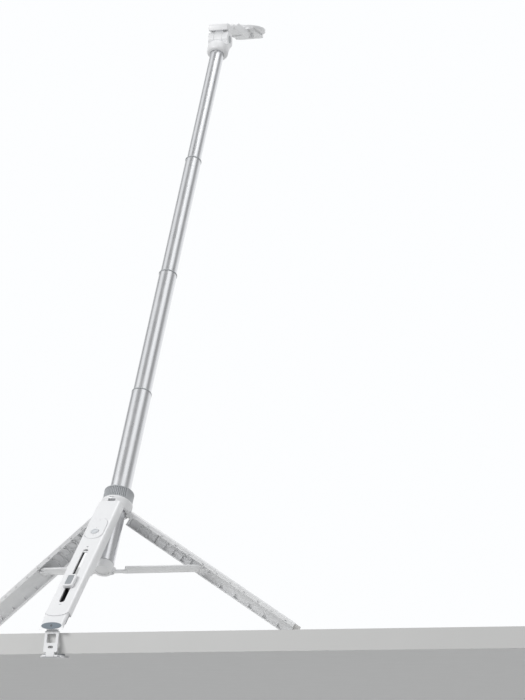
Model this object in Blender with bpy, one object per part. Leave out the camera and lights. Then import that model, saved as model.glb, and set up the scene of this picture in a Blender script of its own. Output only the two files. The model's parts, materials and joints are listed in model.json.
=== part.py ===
"""Selfie stick with a three-leg stand, a table-edge clamp and a magnetic phone disc.

Rest pose: an overhead rig.  The two rear legs stand on a table, the front leg hangs over the
table's edge, and the hook of its clamp grips the table from below.  +Z is up from the table, +Y
points in over the table, and the origin is on the clamp pad's gripping face.

Sizes are millimetres and angles are degrees; meshes and places are scaled to metres when made.
Every piece is drawn in the frame of the body that carries it, whose origin is on its joint.
"""
import math

import bmesh
import bpy
from mathutils import Matrix, Vector

MM = 0.001
GAP = 0.3                    # clearance between pieces that touch

# ---- pose of the whole stand -----------------------------------------------------------------
LEAN = 30.0                  # pole leans over the table
FRONT_OPEN = 19.8            # front leg away from the pole
REAR_OPEN = 67.3             # rear legs away from the pole
HOOK_SWING = 36.0            # hook arm back under the leg
REAR_AZIMUTH = 120.0         # rear legs round the pole, from the front leg
ARM_OPEN = 60.0              # head arm away from the pole

# ---- telescopic pole -------------------------------------------------------------------------
TUBE_R = (12.6, 11.4, 10.3, 9.2)
TUBE_WALL = 0.9
JOINT_Z = (180.0, 370.0, 563.0, 754.0)      # top of each drawn-out tube, above the leg pivots
TUBE_LAP = 30.0                             # length still inside the tube below
RIM_HEIGHT = 1.6
RIM_LIP = 0.5
TUBE_SIDES = 32

# ---- hub and lock ring -----------------------------------------------------------------------
PIN_R = 15.4                 # leg pins, from the pole axis
PIN_Z = 3.4
PIN_SIZE = 0.9
HOLE_SIZE = 1.2
KNUCKLE = 2.4
NOTCH_HALF = 4.9
NOTCH_TOP = 8.3
COLLAR_BORE = 13.0
COLLAR_FOOT_R = 17.7
COLLAR_TOP_R = 19.4
COLLAR_TOP = 13.1
RING_LOW = 13.4
RING_TOP = 28.4
RING_R = 18.45
RING_BORE = 16.0
RING_GRIP = 51.0             # half-angle of each ribbed sector
COLLET_R = 15.6

# ---- spreader --------------------------------------------------------------------------------
SPREAD_Z = -80.6             # strut pins below the leg pivots
SPREAD_R = 14.6
SPREAD_BODY_R = 12.4
EAR_IN = 3.3
EAR_OUT = 5.3
EAR_REACH = 15.2
STRUT_ON_LEG = 115.7         # strut pin along a rear leg
STRUT_N = 14.6
STRUT_HALF = 4.4             # at its pin; the bar below is a broad curved strip
STRUT_R = (13.2, 15.6)       # the strip's two faces, from the pole axis when folded
STRUT_HALF_ANGLE = 32.5
STRUT_BROAD_FROM = 7.0
STRUT_THICK = 2.2
STRUT_KNUCKLE = 1.7
STRUT_PIN = 0.7
STRUT_TAPER = 2.0            # from the knuckle to the bar's own thickness
NECK_HALF = 2.4
NECK_KNUCKLE = 1.5
NECK_LENGTH = 20.0

# ---- legs ------------------------------------------------------------------------------------
LEG_TOP = 1.2
LEG_END = 240.0
LEG_WALL = 1.8
REAR_R = 18.3                # rear leg's outer skin, from the pole axis when folded
REAR_HALF_ANGLE = 57.0
REAR_EDGE_R = 13.2
RIB_PITCH = 12.5
FOOT_LENGTH = 8.0
FRONT_HALF = 15.2
FRONT_FACE = 22.0
FRONT_EDGE = 9.6
FRONT_EDGE_LOW = 13.0
FRONT_STEP = (135.0, 142.0)
FRONT_END = 236.0
FOOT_HALF = 13.0             # front foot's width and its back, clear of the hook
FOOT_BACK = 16.6

# ---- remote ----------------------------------------------------------------------------------
REMOTE_FROM, REMOTE_TO = 37.0, 78.7
REMOTE_R = 11.35
REMOTE_FLOOR = 15.0
REMOTE_SPLIT = 18.6
REMOTE_FACE = 22.5
BUTTON_R = 4.8
BUTTON_AT = 63.85

# ---- clamp -----------------------------------------------------------------------------------
SLOT_HALF = 3.3
SLOT_FROM, SLOT_TO = 99.0, 202.0
TOOTH_PITCH = 2.4
KNOB_AT = 164.6
KNOB_LENGTH, KNOB_WIDTH, KNOB_HEIGHT = 22.4, 12.8, 4.2
SLIDER_N = (13.2, 15.1)
SLIDER_FROM = 150.0
HOOK_AT = 240.0
HOOK_N = 14.6
HOOK_LENGTH = 34.0
HOOK_HALF = 8.5
HOOK_THICK = 3.0
HOOK_PIN = 0.75
HOOK_KNUCKLE = 1.8
PLATE_DEPTH, PLATE_HALF = 21.0, 12.6
PLATE_BAR_HALF = 15.6
PLATE_THICK = 2.4
PAD_THICK = 1.4

# ---- head ------------------------------------------------------------------------------------
CUP_R = 14.5
CUP_TOP = 768.3
HEAD_Z = 780.4               # arm hinge above the leg pivots
BARREL_R = 11.35
FORK_IN, FORK_OUT = 5.95, 13.6
TONGUE_HALF = 5.65
HEAD_PIN = 2.0
ARM_LENGTH = 105.0
ARM_RISE = 29.5              # disc hinge beside the line through the arm hinge
ARM_HALF = 13.5
ARM_THICK = 6.0
ARM_BELLY = 20.7             # underside of the arm's deep part, clear of the hub when folded
END_HALF = 7.7
DISC_PIN = 1.2
CARRIER_HALF_X, CARRIER_HALF_Y = 19.5, 28.5
CARRIER_FROM, CARRIER_TO = 3.4, 5.9
DISC_R = 29.0
DISC_FROM, DISC_TO = 6.2, 10.5
GROOVE_IN, GROOVE_OUT, GROOVE_FLOOR = 22.4, 28.0, 7.4
BAND_HALF = 2.0

COLORS = {
    # name: (colour, roughness, metallic)
    "white_plastic": ((0.86, 0.87, 0.88), 0.38, 0.0),
    "grey_plastic": ((0.42, 0.44, 0.46), 0.45, 0.0),
    "dark_plastic": ((0.06, 0.06, 0.065), 0.5, 0.0),
    "silver_tube": ((0.74, 0.75, 0.77), 0.22, 1.0),
    "steel": ((0.55, 0.56, 0.58), 0.3, 1.0),
    "grey_rubber": ((0.30, 0.34, 0.38), 0.8, 0.0),
}


# ---- scene and mesh helpers ------------------------------------------------------------------
def clear_scene():
    for old in list(bpy.data.objects):
        bpy.data.objects.remove(old)


def new_material(node, finish):
    """A Principled material of the node's own."""
    color, roughness, metallic = COLORS[finish]
    material = bpy.data.materials.new(f"{node}.{finish}")
    material.use_nodes = True
    shader = material.node_tree.nodes["Principled BSDF"]
    shader.inputs["Base Color"].default_value = (*color, 1.0)
    shader.inputs["Roughness"].default_value = roughness
    shader.inputs["Metallic"].default_value = metallic
    material.diffuse_color = (*color, 1.0)
    return material


def body(name, parent=None, at=(0.0, 0.0, 0.0), turn=0.0, about_z=0.0):
    """An empty on a joint: turned about Z, moved to its place, then turned about its own X."""
    empty = bpy.data.objects.new(f"body_{name}", None)
    empty.empty_display_size = 0.01
    bpy.context.scene.collection.objects.link(empty)
    empty.parent = parent
    empty.matrix_local = (
        Matrix.Rotation(math.radians(about_z), 4, "Z")
        @ Matrix.Translation(Vector(at) * MM)
        @ Matrix.Rotation(math.radians(turn), 4, "X")
    )
    return empty


def new_object(name, bm, carrier):
    bmesh.ops.scale(bm, vec=(MM, MM, MM), verts=bm.verts)
    bmesh.ops.recalc_face_normals(bm, faces=bm.faces)
    mesh = bpy.data.meshes.new(name)
    bm.to_mesh(mesh)
    bm.free()
    obj = bpy.data.objects.new(name, mesh)
    bpy.context.scene.collection.objects.link(obj)
    obj.parent = carrier
    return obj


def piece(name, bm, carrier, finish):
    """A node of the part: one closed body, shaded smooth except at its corners."""
    obj = new_object(name, bm, carrier)
    obj.data.shade_smooth()
    obj.data.set_sharp_from_angle(angle=math.radians(35.0))
    obj.data.materials.append(new_material(name, finish))
    return obj


def combine(obj, bm, operation):
    tool = new_object(f"tool_{obj.name}", bm, obj.parent)
    tool.hide_render = True
    tool.display_type = "WIRE"
    boolean = obj.modifiers.new(operation.lower(), "BOOLEAN")
    boolean.operation = operation
    boolean.solver = "EXACT"
    boolean.object = tool


def cut(obj, *shapes):
    for bm in shapes:
        combine(obj, bm, "DIFFERENCE")


def fuse(obj, *shapes):
    for bm in shapes:
        combine(obj, bm, "UNION")


def moved(bm, at=(0.0, 0.0, 0.0), about_z=0.0):
    bmesh.ops.transform(bm, matrix=Matrix.Rotation(math.radians(about_z), 4, "Z")
                        @ Matrix.Translation(Vector(at)), verts=bm.verts)
    return bm


def prism(outline, low, high, axis="Z"):
    """Extrude a flat outline.  Its points are (x, y) along Z and (y, z) along X."""
    bm = bmesh.new()
    if axis == "Z":
        base = [bm.verts.new((a, b, low)) for a, b in outline]
        step = Vector((0.0, 0.0, high - low))
    else:
        base = [bm.verts.new((low, a, b)) for a, b in outline]
        step = Vector((high - low, 0.0, 0.0))
    face = bm.faces.new(base)
    grown = bmesh.ops.extrude_face_region(bm, geom=[face])["geom"]
    top = [item for item in grown if isinstance(item, bmesh.types.BMVert)]
    bmesh.ops.translate(bm, vec=step, verts=top)
    return bm


def box(x0, x1, y0, y1, z0, z1):
    return prism([(x0, y0), (x1, y0), (x1, y1), (x0, y1)], z0, z1)


def turned(profile, steps=TUBE_SIDES):
    """Spin a closed (radius, height) outline round Z."""
    bm = bmesh.new()
    ring = [bm.verts.new((radius, 0.0, height)) for radius, height in profile]
    edges = [bm.edges.new((a, b)) for a, b in zip(ring, ring[1:] + ring[:1])]
    bmesh.ops.spin(bm, geom=ring + edges, cent=(0, 0, 0), axis=(0, 0, 1),
                   angle=math.tau, steps=steps, use_merge=True)
    bmesh.ops.remove_doubles(bm, verts=bm.verts, dist=1e-4)
    bmesh.ops.dissolve_degenerate(bm, edges=bm.edges, dist=1e-5)
    return bm


def ring_profile(inner, outer, low, high, edge=0.3):
    """Outline of a plain ring whose outer corners are broken."""
    return [(inner, low), (inner, high), (outer - edge, high), (outer, high - edge),
            (outer, low + edge), (outer - edge, low)]


def disc_profile(radius, low, high, edge=0.3):
    return [(0.0, low), (0.0, high), (radius - edge, high), (radius, high - edge),
            (radius, low + edge), (radius - edge, low)]


def arc(cx, cy, radius, start, stop, steps):
    """Points of an arc, angles in degrees."""
    out = []
    for step in range(steps + 1):
        angle = math.radians(start + (stop - start) * step / steps)
        out.append((cx + radius * math.cos(angle), cy + radius * math.sin(angle)))
    return out


def rounded(half_x, half_y, radius, steps=5):
    """Outline of a rounded rectangle round the origin."""
    dx, dy = half_x - radius, half_y - radius
    return (arc(dx, dy, radius, 0, 90, steps) + arc(-dx, dy, radius, 90, 180, steps)
            + arc(-dx, -dy, radius, 180, 270, steps) + arc(dx, -dy, radius, 270, 360, steps))


def rod(radius, half, y=0.0, z=0.0, steps=12):
    """A round pin or cutter along X."""
    return prism(arc(y, z, radius, 0, 360 - 360 / steps, steps - 1), -half, half, "X")


def softened(bm, width, wanted, segments=3):
    """Bevel the edges whose two ends both pass the test."""
    edges = [edge for edge in bm.edges if all(wanted(vert.co) for vert in edge.verts)]
    bmesh.ops.bevel(bm, geom=edges, offset=width, offset_type="OFFSET", affect="EDGES",
                    segments=segments, profile=0.5, material=-1, clamp_overlap=True)
    return bm


def leg_y(n):
    """Leg frame: distance n from the pole axis, when folded, to the frame's Y."""
    return PIN_R - n


def leg_z(w):
    """Leg frame: distance w below the pivot plane, when folded, to the frame's Z."""
    return -PIN_Z - w


def strut_fit():
    """Length of a strut, and its turn in its leg's frame that brings its end to the spreader."""
    angle = math.radians(REAR_OPEN)
    y, z = leg_y(STRUT_N), leg_z(STRUT_ON_LEG)
    reach = PIN_R - y * math.cos(angle) - z * math.sin(angle) - SPREAD_R
    rise = PIN_Z - y * math.sin(angle) + z * math.cos(angle) - SPREAD_Z
    return math.hypot(reach, rise), math.degrees(math.atan2(reach, rise)) + REAR_OPEN


# ---- hub, lock ring and pole -----------------------------------------------------------------
def build_hub(root):
    collar = piece("hub_collar", turned([
        (COLLAR_BORE, 0.0), (COLLAR_BORE, COLLAR_TOP), (COLLAR_TOP_R - 0.4, COLLAR_TOP),
        (COLLAR_TOP_R, COLLAR_TOP - 0.5), (COLLAR_TOP_R, COLLAR_TOP - 3.0),
        (COLLAR_FOOT_R, 0.0)], 48), root, "white_plastic")
    for azimuth in (0.0, REAR_AZIMUTH, -REAR_AZIMUTH):
        cut(collar, moved(box(-NOTCH_HALF, NOTCH_HALF, -22.0, -12.0, -2.0, NOTCH_TOP),
                          about_z=azimuth))
        cut(collar, moved(rod(HOLE_SIZE, 7.3), (0.0, -PIN_R, PIN_Z), azimuth))
    for label, azimuth in (("front", 0.0), ("right", REAR_AZIMUTH), ("left", -REAR_AZIMUTH)):
        piece(f"leg_pin_{label}", moved(rod(PIN_SIZE, 6.9), (0.0, -PIN_R, PIN_Z), azimuth),
              root, "steel")
    collet = piece("collet", turned(ring_profile(COLLAR_BORE, COLLET_R, RING_LOW, RING_TOP - 1.6)),
                   root, "grey_plastic")
    for azimuth in (45.0, 135.0, 225.0, 315.0):
        cut(collet, moved(box(-0.8, 0.8, -17.0, -11.0, RING_LOW + 4.0, RING_TOP + 1.0),
                          about_z=azimuth))


def build_lock_ring(carrier):
    outline = []
    steps = 96
    for step in range(steps):
        angle = 360.0 * step / steps
        from_grip = min(angle % 180.0, 180.0 - angle % 180.0)
        ribbed = from_grip < RING_GRIP and step % 2
        radius = RING_R - (0.5 if ribbed else 0.0)
        turn = math.radians(angle + 90.0)
        outline.append((radius * math.cos(turn), radius * math.sin(turn)))
    ring = piece("lock_ring", prism(outline, RING_LOW, RING_TOP), carrier, "grey_plastic")
    cut(ring, turned(disc_profile(RING_BORE, RING_LOW - 1.0, RING_TOP - 1.2, 0.01)))
    cut(ring, turned(disc_profile(COLLAR_BORE + 0.2, RING_TOP - 3.0, RING_TOP + 1.0, 0.01)))


def build_tube(index, carrier, low):
    """One tube and the rim on its mouth."""
    outer = TUBE_R[index]
    inner = outer - TUBE_WALL
    top = JOINT_Z[index] - RIM_HEIGHT - GAP
    piece(f"tube_{index + 1}", turned(ring_profile(inner, outer, low, top, 0.1)), carrier,
          "silver_tube")
    piece(f"tube_{index + 1}_rim", turned(ring_profile(
        inner, outer + (RIM_LIP if index else 0.2), JOINT_Z[index] - RIM_HEIGHT,
        JOINT_Z[index], 0.3)), carrier, "grey_plastic")


def build_spreader(carrier):
    hub = piece("spreader_hub", turned(disc_profile(SPREAD_BODY_R, SPREAD_Z - 4.4, SPREAD_Z + 6.6)),
                carrier, "white_plastic")
    spigot = TUBE_R[0] - TUBE_WALL - GAP
    fuse(hub, turned(disc_profile(spigot, SPREAD_Z + 2.0, SPREAD_Z + 15.0)))
    for azimuth in (REAR_AZIMUTH, -REAR_AZIMUTH):
        fuse(hub, moved(box(-EAR_OUT, EAR_OUT, -EAR_REACH, -6.0, SPREAD_Z - 2.6, SPREAD_Z + 2.6),
                        about_z=azimuth))
    for azimuth in (REAR_AZIMUTH, -REAR_AZIMUTH):
        cut(hub, moved(box(-EAR_IN, EAR_IN, -18.0, -11.2, SPREAD_Z - 8.0, SPREAD_Z + 6.0),
                       about_z=azimuth))


def build_pole(carriers):
    for index, carrier in enumerate(carriers[:3]):
        if index == 0:
            low = SPREAD_Z + 6.6 + GAP
        else:
            low = JOINT_Z[index - 1] - TUBE_LAP
        build_tube(index, carrier, low)
    build_spreader(carriers[0])
    outer = TUBE_R[3]
    piece("tube_4", turned(ring_profile(outer - TUBE_WALL, outer, JOINT_Z[2] - TUBE_LAP,
                                        JOINT_Z[3] + 9.0, 0.1)), carriers[3], "silver_tube")


# ---- head ------------------------------------------------------------------------------------
def build_fork(carrier):
    """Cup on the pole and the two ears of the arm hinge; the frame's origin is on the hinge."""
    foot = JOINT_Z[3] - HEAD_Z
    top = CUP_TOP - HEAD_Z
    fork = piece("head_fork", turned([(0.0, foot), (0.0, top), (CUP_R - 1.5, top),
                                      (CUP_R, top - 1.5), (CUP_R, foot + 3.0),
                                      (CUP_R - 2.0, foot)]), carrier, "white_plastic")
    ear = arc(0.0, 0.0, BARREL_R, -20.0, 200.0, 16)
    for side in (-1.0, 1.0):
        fuse(fork, prism([(-10.4, top - 3.0)] + [(10.4, top - 3.0)] + ear,
                         min(side * FORK_IN, side * FORK_OUT),
                         max(side * FORK_IN, side * FORK_OUT), "X"))
    cut(fork, turned(disc_profile(TUBE_R[3] + GAP, foot - 1.0, foot + 9.0 + GAP, 0.01)))
    cut(fork, rod(HEAD_PIN + GAP, 15.0, steps=16))
    piece("head_pin", rod(HEAD_PIN, FORK_OUT - 0.3, steps=16), carrier, "steel")


def build_arm(carrier):
    """Arm in its own frame: +Y runs along it and +Z is the side that the disc stands on."""
    tongue = arc(0.0, 0.0, BARREL_R, 120.0, 390.0, 20)
    arm = piece("arm", prism(tongue + [(10.0, 12.6), (-6.0, 12.6)], -TONGUE_HALF, TONGUE_HALF, "X"),
                carrier, "white_plastic")
    half = ARM_THICK / 2.0
    bar = [(-10.0, 12.0), (0.0, 12.0), (10.0, 15.0), (24.0, ARM_BELLY), (69.0, ARM_BELLY),
           (74.0, ARM_BELLY + 2.7), (75.6, ARM_RISE - half), (ARM_LENGTH - 7.5, ARM_RISE - half), (ARM_LENGTH - 7.5, ARM_RISE + half),
           (40.0, ARM_RISE + half), (14.0, 21.5), (-8.0, 21.5), (-10.0, 19.5)]
    fuse(arm, prism(bar, -ARM_HALF, ARM_HALF, "X"))
    end = [(ARM_LENGTH - 12.0, ARM_RISE + half), (ARM_LENGTH - 12.0, ARM_RISE - half)]
    end += arc(ARM_LENGTH, ARM_RISE, half, -90.0, 90.0, 10)
    fuse(arm, prism(end, -END_HALF, END_HALF, "X"))
    cut(arm, rod(HEAD_PIN + GAP, 9.0, steps=16))
    cut(arm, rod(DISC_PIN + GAP, 9.0, ARM_LENGTH, ARM_RISE))
    piece("disc_hinge_pin", rod(DISC_PIN, 12.2, ARM_LENGTH, ARM_RISE), carrier, "steel")


def build_carrier(carrier):
    """Plate and lugs that tilt the disc; the frame's origin is on the disc hinge."""
    plate = piece("disc_carrier", prism(rounded(CARRIER_HALF_X, CARRIER_HALF_Y, 6.0),
                                        CARRIER_FROM, CARRIER_TO), carrier, "white_plastic")
    lug = [(3.0, CARRIER_FROM + 0.5), (-3.0, CARRIER_FROM + 0.5)] + arc(0.0, 0.0, 3.0, 180.0, 360.0, 10)
    for low, high in ((8.0, 12.5), (-12.5, -8.0)):
        fuse(plate, prism(lug, low, high, "X"))
    cut(plate, rod(DISC_PIN + GAP, 14.0))
    cut(plate, turned(disc_profile(5.3, CARRIER_FROM - 1.0, CARRIER_TO + 1.0, 0.01), 24))


def half_ring(inner, outer, low, high, side, reach):
    """C-shaped outline of half the disc's face, kept this far from the band across it."""
    start = math.degrees(math.asin(reach / outer))
    inner_start = math.degrees(math.asin(reach / inner))
    outline = arc(0.0, 0.0, outer, start, 180.0 - start, 20)
    outline += arc(0.0, 0.0, inner, 180.0 - inner_start, inner_start, 20)
    return moved(prism(outline, low, high), about_z=0.0 if side > 0 else 180.0)


def build_disc(carrier):
    disc = piece("phone_disc", turned(disc_profile(DISC_R, DISC_FROM, DISC_TO, 0.5), 64), carrier,
                 "white_plastic")
    fuse(disc, turned(disc_profile(5.0, CARRIER_FROM + 0.2, DISC_FROM + 1.0, 0.1), 24))
    for side in (1.0, -1.0):
        cut(disc, half_ring(GROOVE_IN - GAP, GROOVE_OUT + GAP, GROOVE_FLOOR, DISC_TO + 1.0, side,
                            BAND_HALF))
    for label, side in (("near", -1.0), ("far", 1.0)):
        reach = BAND_HALF + GAP
        magnet = half_ring(GROOVE_IN, GROOVE_OUT, GROOVE_FLOOR + GAP, DISC_TO - 1.3, side, reach)
        pad = half_ring(GROOVE_IN, GROOVE_OUT, DISC_TO - 1.0, DISC_TO, side, reach)
        piece(f"magnet_{label}", magnet, carrier, "steel")
        piece(f"disc_pad_{label}", pad, carrier, "grey_rubber")


# ---- rear legs and struts --------------------------------------------------------------------
def polar(radius, angle):
    """A leg-frame point at this distance from the pole axis, angle from the leg's middle."""
    turn = math.radians(angle)
    return radius * math.sin(turn), PIN_R - radius * math.cos(turn)


def leg_knuckle():
    outline = arc(0.0, 0.0, KNUCKLE, 0.0, 180.0, 10)
    outline += [(-KNUCKLE, leg_z(LEG_TOP + 1.0)), (KNUCKLE, leg_z(LEG_TOP + 1.0))]
    return prism(outline, -NOTCH_HALF + GAP, NOTCH_HALF - GAP, "X")


def channel(inner, half_in, outer, half_out, low, high, steps=12):
    """A sector of a ring between two radii, run down the leg."""
    outline = [polar(outer, -half_out + 2.0 * half_out * k / steps) for k in range(steps + 1)]
    outline += [polar(inner, half_in - 2.0 * half_in * k / steps) for k in range(steps + 1)]
    return prism(outline, leg_z(high), leg_z(low))


def build_rear_leg(label, carrier):
    inner = REAR_R - LEG_WALL
    leg = piece(f"rear_leg_{label}", channel(REAR_EDGE_R, REAR_HALF_ANGLE, REAR_R, REAR_HALF_ANGLE,
                                             LEG_TOP, LEG_END), carrier, "white_plastic")
    cut(leg, channel(REAR_EDGE_R - 2.0, 49.5, inner, 51.0, LEG_TOP + 3.0, LEG_END - 2.0))
    fuse(leg, leg_knuckle())
    count = int((STRUT_ON_LEG - 16.0) / RIB_PITCH)
    for rib in range(1, count + 1):
        w = LEG_TOP + 3.0 + rib * RIB_PITCH
        fuse(leg, channel(REAR_EDGE_R + 0.3, 50.5, inner + 0.4, 51.5, w, w + 1.2, 8))
    for side in (-1.0, 1.0):
        low, high = sorted((side * 4.9, side * 6.7))
        ear = [(leg_y(inner + 0.5), leg_z(STRUT_ON_LEG + 4.0)),
               (leg_y(STRUT_N - STRUT_KNUCKLE), leg_z(STRUT_ON_LEG + 1.0)),
               (leg_y(STRUT_N - STRUT_KNUCKLE), leg_z(STRUT_ON_LEG - 1.0)),
               (leg_y(inner + 0.5), leg_z(STRUT_ON_LEG - 4.0))]
        fuse(leg, prism(ear, low, high, "X"))
    cut(leg, rod(HOLE_SIZE, NOTCH_HALF + 1.0))
    cut(leg, rod(STRUT_KNUCKLE + GAP, 4.85, leg_y(STRUT_N), leg_z(STRUT_ON_LEG)))
    cut(leg, rod(STRUT_PIN + GAP, 7.5, leg_y(STRUT_N), leg_z(STRUT_ON_LEG)))
    piece(f"strut_pin_{label}", rod(STRUT_PIN, 6.6, leg_y(STRUT_N), leg_z(STRUT_ON_LEG)), carrier,
          "steel")
    foot = channel(REAR_EDGE_R + 0.8, 46.0, REAR_R - 0.5, 54.0, LEG_END + GAP,
                   LEG_END + FOOT_LENGTH, 8)
    softened(foot, 1.5, lambda co: co.z < leg_z(LEG_END + FOOT_LENGTH - 0.1), 2)
    piece(f"rear_foot_{label}", foot, carrier, "grey_rubber")


def build_strut(label, carrier, length):
    """Strut from its pin on the leg (the frame's origin) down to the spreader."""
    half = STRUT_THICK / 2.0
    root = arc(0.0, 0.0, STRUT_KNUCKLE, 0.0, 180.0, 8)
    root += [(-half, -STRUT_TAPER), (-half, -STRUT_BROAD_FROM - 4.0),
             (half, -STRUT_BROAD_FROM - 4.0), (half, -STRUT_TAPER)]
    strut = piece(f"strut_{label}", prism(root, -STRUT_HALF, STRUT_HALF, "X"), carrier,
                  "white_plastic")
    near, far = STRUT_R
    section = []
    for radius, first in ((far, -STRUT_HALF_ANGLE), (near, STRUT_HALF_ANGLE)):
        for step in range(13):
            angle = math.radians(first * (1.0 - step / 6.0))
            section.append((radius * math.sin(angle), STRUT_N - radius * math.cos(angle)))
    fuse(strut, prism(section, -length + NECK_LENGTH, -STRUT_BROAD_FROM))
    neck = [(half, -length + NECK_LENGTH + 4.0), (-half, -length + NECK_LENGTH + 4.0)]
    neck += arc(0.0, -length, NECK_KNUCKLE, 160.0, 380.0, 10)
    fuse(strut, prism(neck, -NECK_HALF, NECK_HALF, "X"))
    for drop in (0.0, length):
        cut(strut, rod(STRUT_PIN + GAP, 6.0, 0.0, -drop))


# ---- front leg -------------------------------------------------------------------------------
def stadium(radius, low, high):
    """Outline in (x, z) of a slot with round ends, from w = low to w = high."""
    top = arc(0.0, leg_z(low + radius), radius, 0.0, 180.0, 12)
    return top + arc(0.0, leg_z(high - radius), radius, 180.0, 360.0, 12)


def facing(outline, near, far):
    """Extrude an (x, z) outline between two distances from the pole axis."""
    bm = bmesh.new()
    base = [bm.verts.new((x, leg_y(near), z)) for x, z in outline]
    face = bm.faces.new(base)
    grown = bmesh.ops.extrude_face_region(bm, geom=[face])["geom"]
    bmesh.ops.translate(bm, vec=(0.0, near - far, 0.0),
                        verts=[item for item in grown if isinstance(item, bmesh.types.BMVert)])
    return bm


def leg_box(half, near, far, low, high):
    return box(-half, half, leg_y(far), leg_y(near), leg_z(high), leg_z(low))


def build_front_leg(carrier):
    side = [(leg_y(FRONT_FACE), leg_z(LEG_TOP)), (leg_y(FRONT_FACE), leg_z(FRONT_END)),
            (leg_y(FRONT_EDGE_LOW), leg_z(FRONT_END)), (leg_y(FRONT_EDGE_LOW), leg_z(FRONT_STEP[1])),
            (leg_y(FRONT_EDGE), leg_z(FRONT_STEP[0])), (leg_y(FRONT_EDGE), leg_z(LEG_TOP))]
    shell = prism(side, -FRONT_HALF, FRONT_HALF, "X")
    softened(shell, 4.0, lambda co: co.y < leg_y(FRONT_FACE) + 0.01 and abs(co.x) > 1.0, 4)
    leg = piece("front_leg", shell, carrier, "white_plastic")
    inside = FRONT_HALF - LEG_WALL
    cut(leg, leg_box(inside, 0.0, FRONT_FACE - LEG_WALL, LEG_TOP + 3.0, FRONT_END + 3.0))
    bore = disc_profile(COLLAR_BORE + 0.2, leg_z(LEG_TOP + 4.0), leg_z(LEG_TOP - 1.0), 0.01)
    cut(leg, moved(turned(bore), (0.0, PIN_R, 0.0)))
    fuse(leg, leg_box(inside + 0.2, REMOTE_FLOOR - 1.6, FRONT_FACE - 1.0, REMOTE_FROM - 2.5,
                      REMOTE_TO + 2.5))
    fuse(leg, leg_knuckle())
    pocket = REMOTE_R + GAP
    cut(leg, facing(stadium(pocket, REMOTE_FROM - 0.15, REMOTE_TO + 0.15), REMOTE_FLOOR, 24.0))
    cut(leg, facing(stadium(SLOT_HALF, SLOT_FROM, SLOT_TO), 18.0, 24.0))
    cut(leg, rod(HOLE_SIZE, NOTCH_HALF + 1.0))
    foot = leg_box(FOOT_HALF, FOOT_BACK, FRONT_FACE - 0.4, FRONT_END + GAP, FRONT_END + 10.0)
    softened(foot, 2.0, lambda co: co.z < leg_z(FRONT_END + 9.9), 3)
    foot = piece("front_foot", foot, carrier, "grey_rubber")
    fuse(foot, leg_box(8.0, FOOT_BACK + 0.6, FRONT_FACE - LEG_WALL - GAP, FRONT_END - 10.0,
                       FRONT_END + 2.0))


def build_rack(carrier):
    """Toothed track behind the slot."""
    rack = piece("clamp_rack", leg_box(8.0, 17.6, FRONT_FACE - LEG_WALL - GAP, SLOT_FROM - 3.0,
                                       SLOT_TO + 4.0), carrier, "dark_plastic")
    count = int((SLOT_TO - SLOT_FROM) / TOOTH_PITCH)
    right = []
    for tooth in range(count):
        w = SLOT_FROM + tooth * TOOTH_PITCH
        right += [(3.0, leg_z(w)), (2.2, leg_z(w + TOOTH_PITCH / 2.0))]
    right.append((3.0, leg_z(SLOT_FROM + count * TOOTH_PITCH)))
    left = [(-x, z) for x, z in reversed(right)]
    cut(rack, facing(right + left, 16.0, 22.0))


def build_remote(carrier, button_carrier):
    """Clip-in remote: base tray, coin cell, board, top shell and sprung button."""
    base = piece("remote_base", facing(stadium(REMOTE_R, REMOTE_FROM + 0.15, REMOTE_TO - 0.15),
                                       REMOTE_FLOOR + GAP, REMOTE_SPLIT - GAP), carrier,
                 "white_plastic")
    cut(base, facing(stadium(REMOTE_R - 1.4, REMOTE_FROM + 1.5, REMOTE_TO - 1.5),
                     REMOTE_FLOOR + 1.2, REMOTE_SPLIT + 1.0))
    top = piece("remote_top", facing(stadium(REMOTE_R, REMOTE_FROM + 0.15, REMOTE_TO - 0.15),
                                     REMOTE_SPLIT, REMOTE_FACE), carrier, "white_plastic")
    cut(top, facing(stadium(REMOTE_R - 1.4, REMOTE_FROM + 1.5, REMOTE_TO - 1.5),
                    REMOTE_SPLIT - 1.0, REMOTE_FACE - 1.4))
    cut(top, facing(stadium(BUTTON_R + GAP, BUTTON_AT - BUTTON_R - GAP, BUTTON_AT + BUTTON_R + GAP),
                    REMOTE_SPLIT, REMOTE_FACE + 1.0))
    piece("remote_cell", facing(stadium(8.0, REMOTE_FROM + 3.0, REMOTE_FROM + 19.0),
                                REMOTE_FLOOR + 1.5, REMOTE_SPLIT - 0.4), carrier, "steel")
    piece("remote_board", facing(stadium(9.4, REMOTE_FROM + 2.2, REMOTE_TO - 2.2),
                                 REMOTE_SPLIT - 0.1, REMOTE_SPLIT + 0.7), carrier, "dark_plastic")
    button = facing(stadium(BUTTON_R, BUTTON_AT - BUTTON_R, BUTTON_AT + BUTTON_R),
                    REMOTE_SPLIT + 1.6, REMOTE_FACE + 0.5)
    button = piece("remote_button", moved(button, (0.0, -leg_y(REMOTE_FACE), -leg_z(BUTTON_AT))),
                   button_carrier, "grey_plastic")


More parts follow.
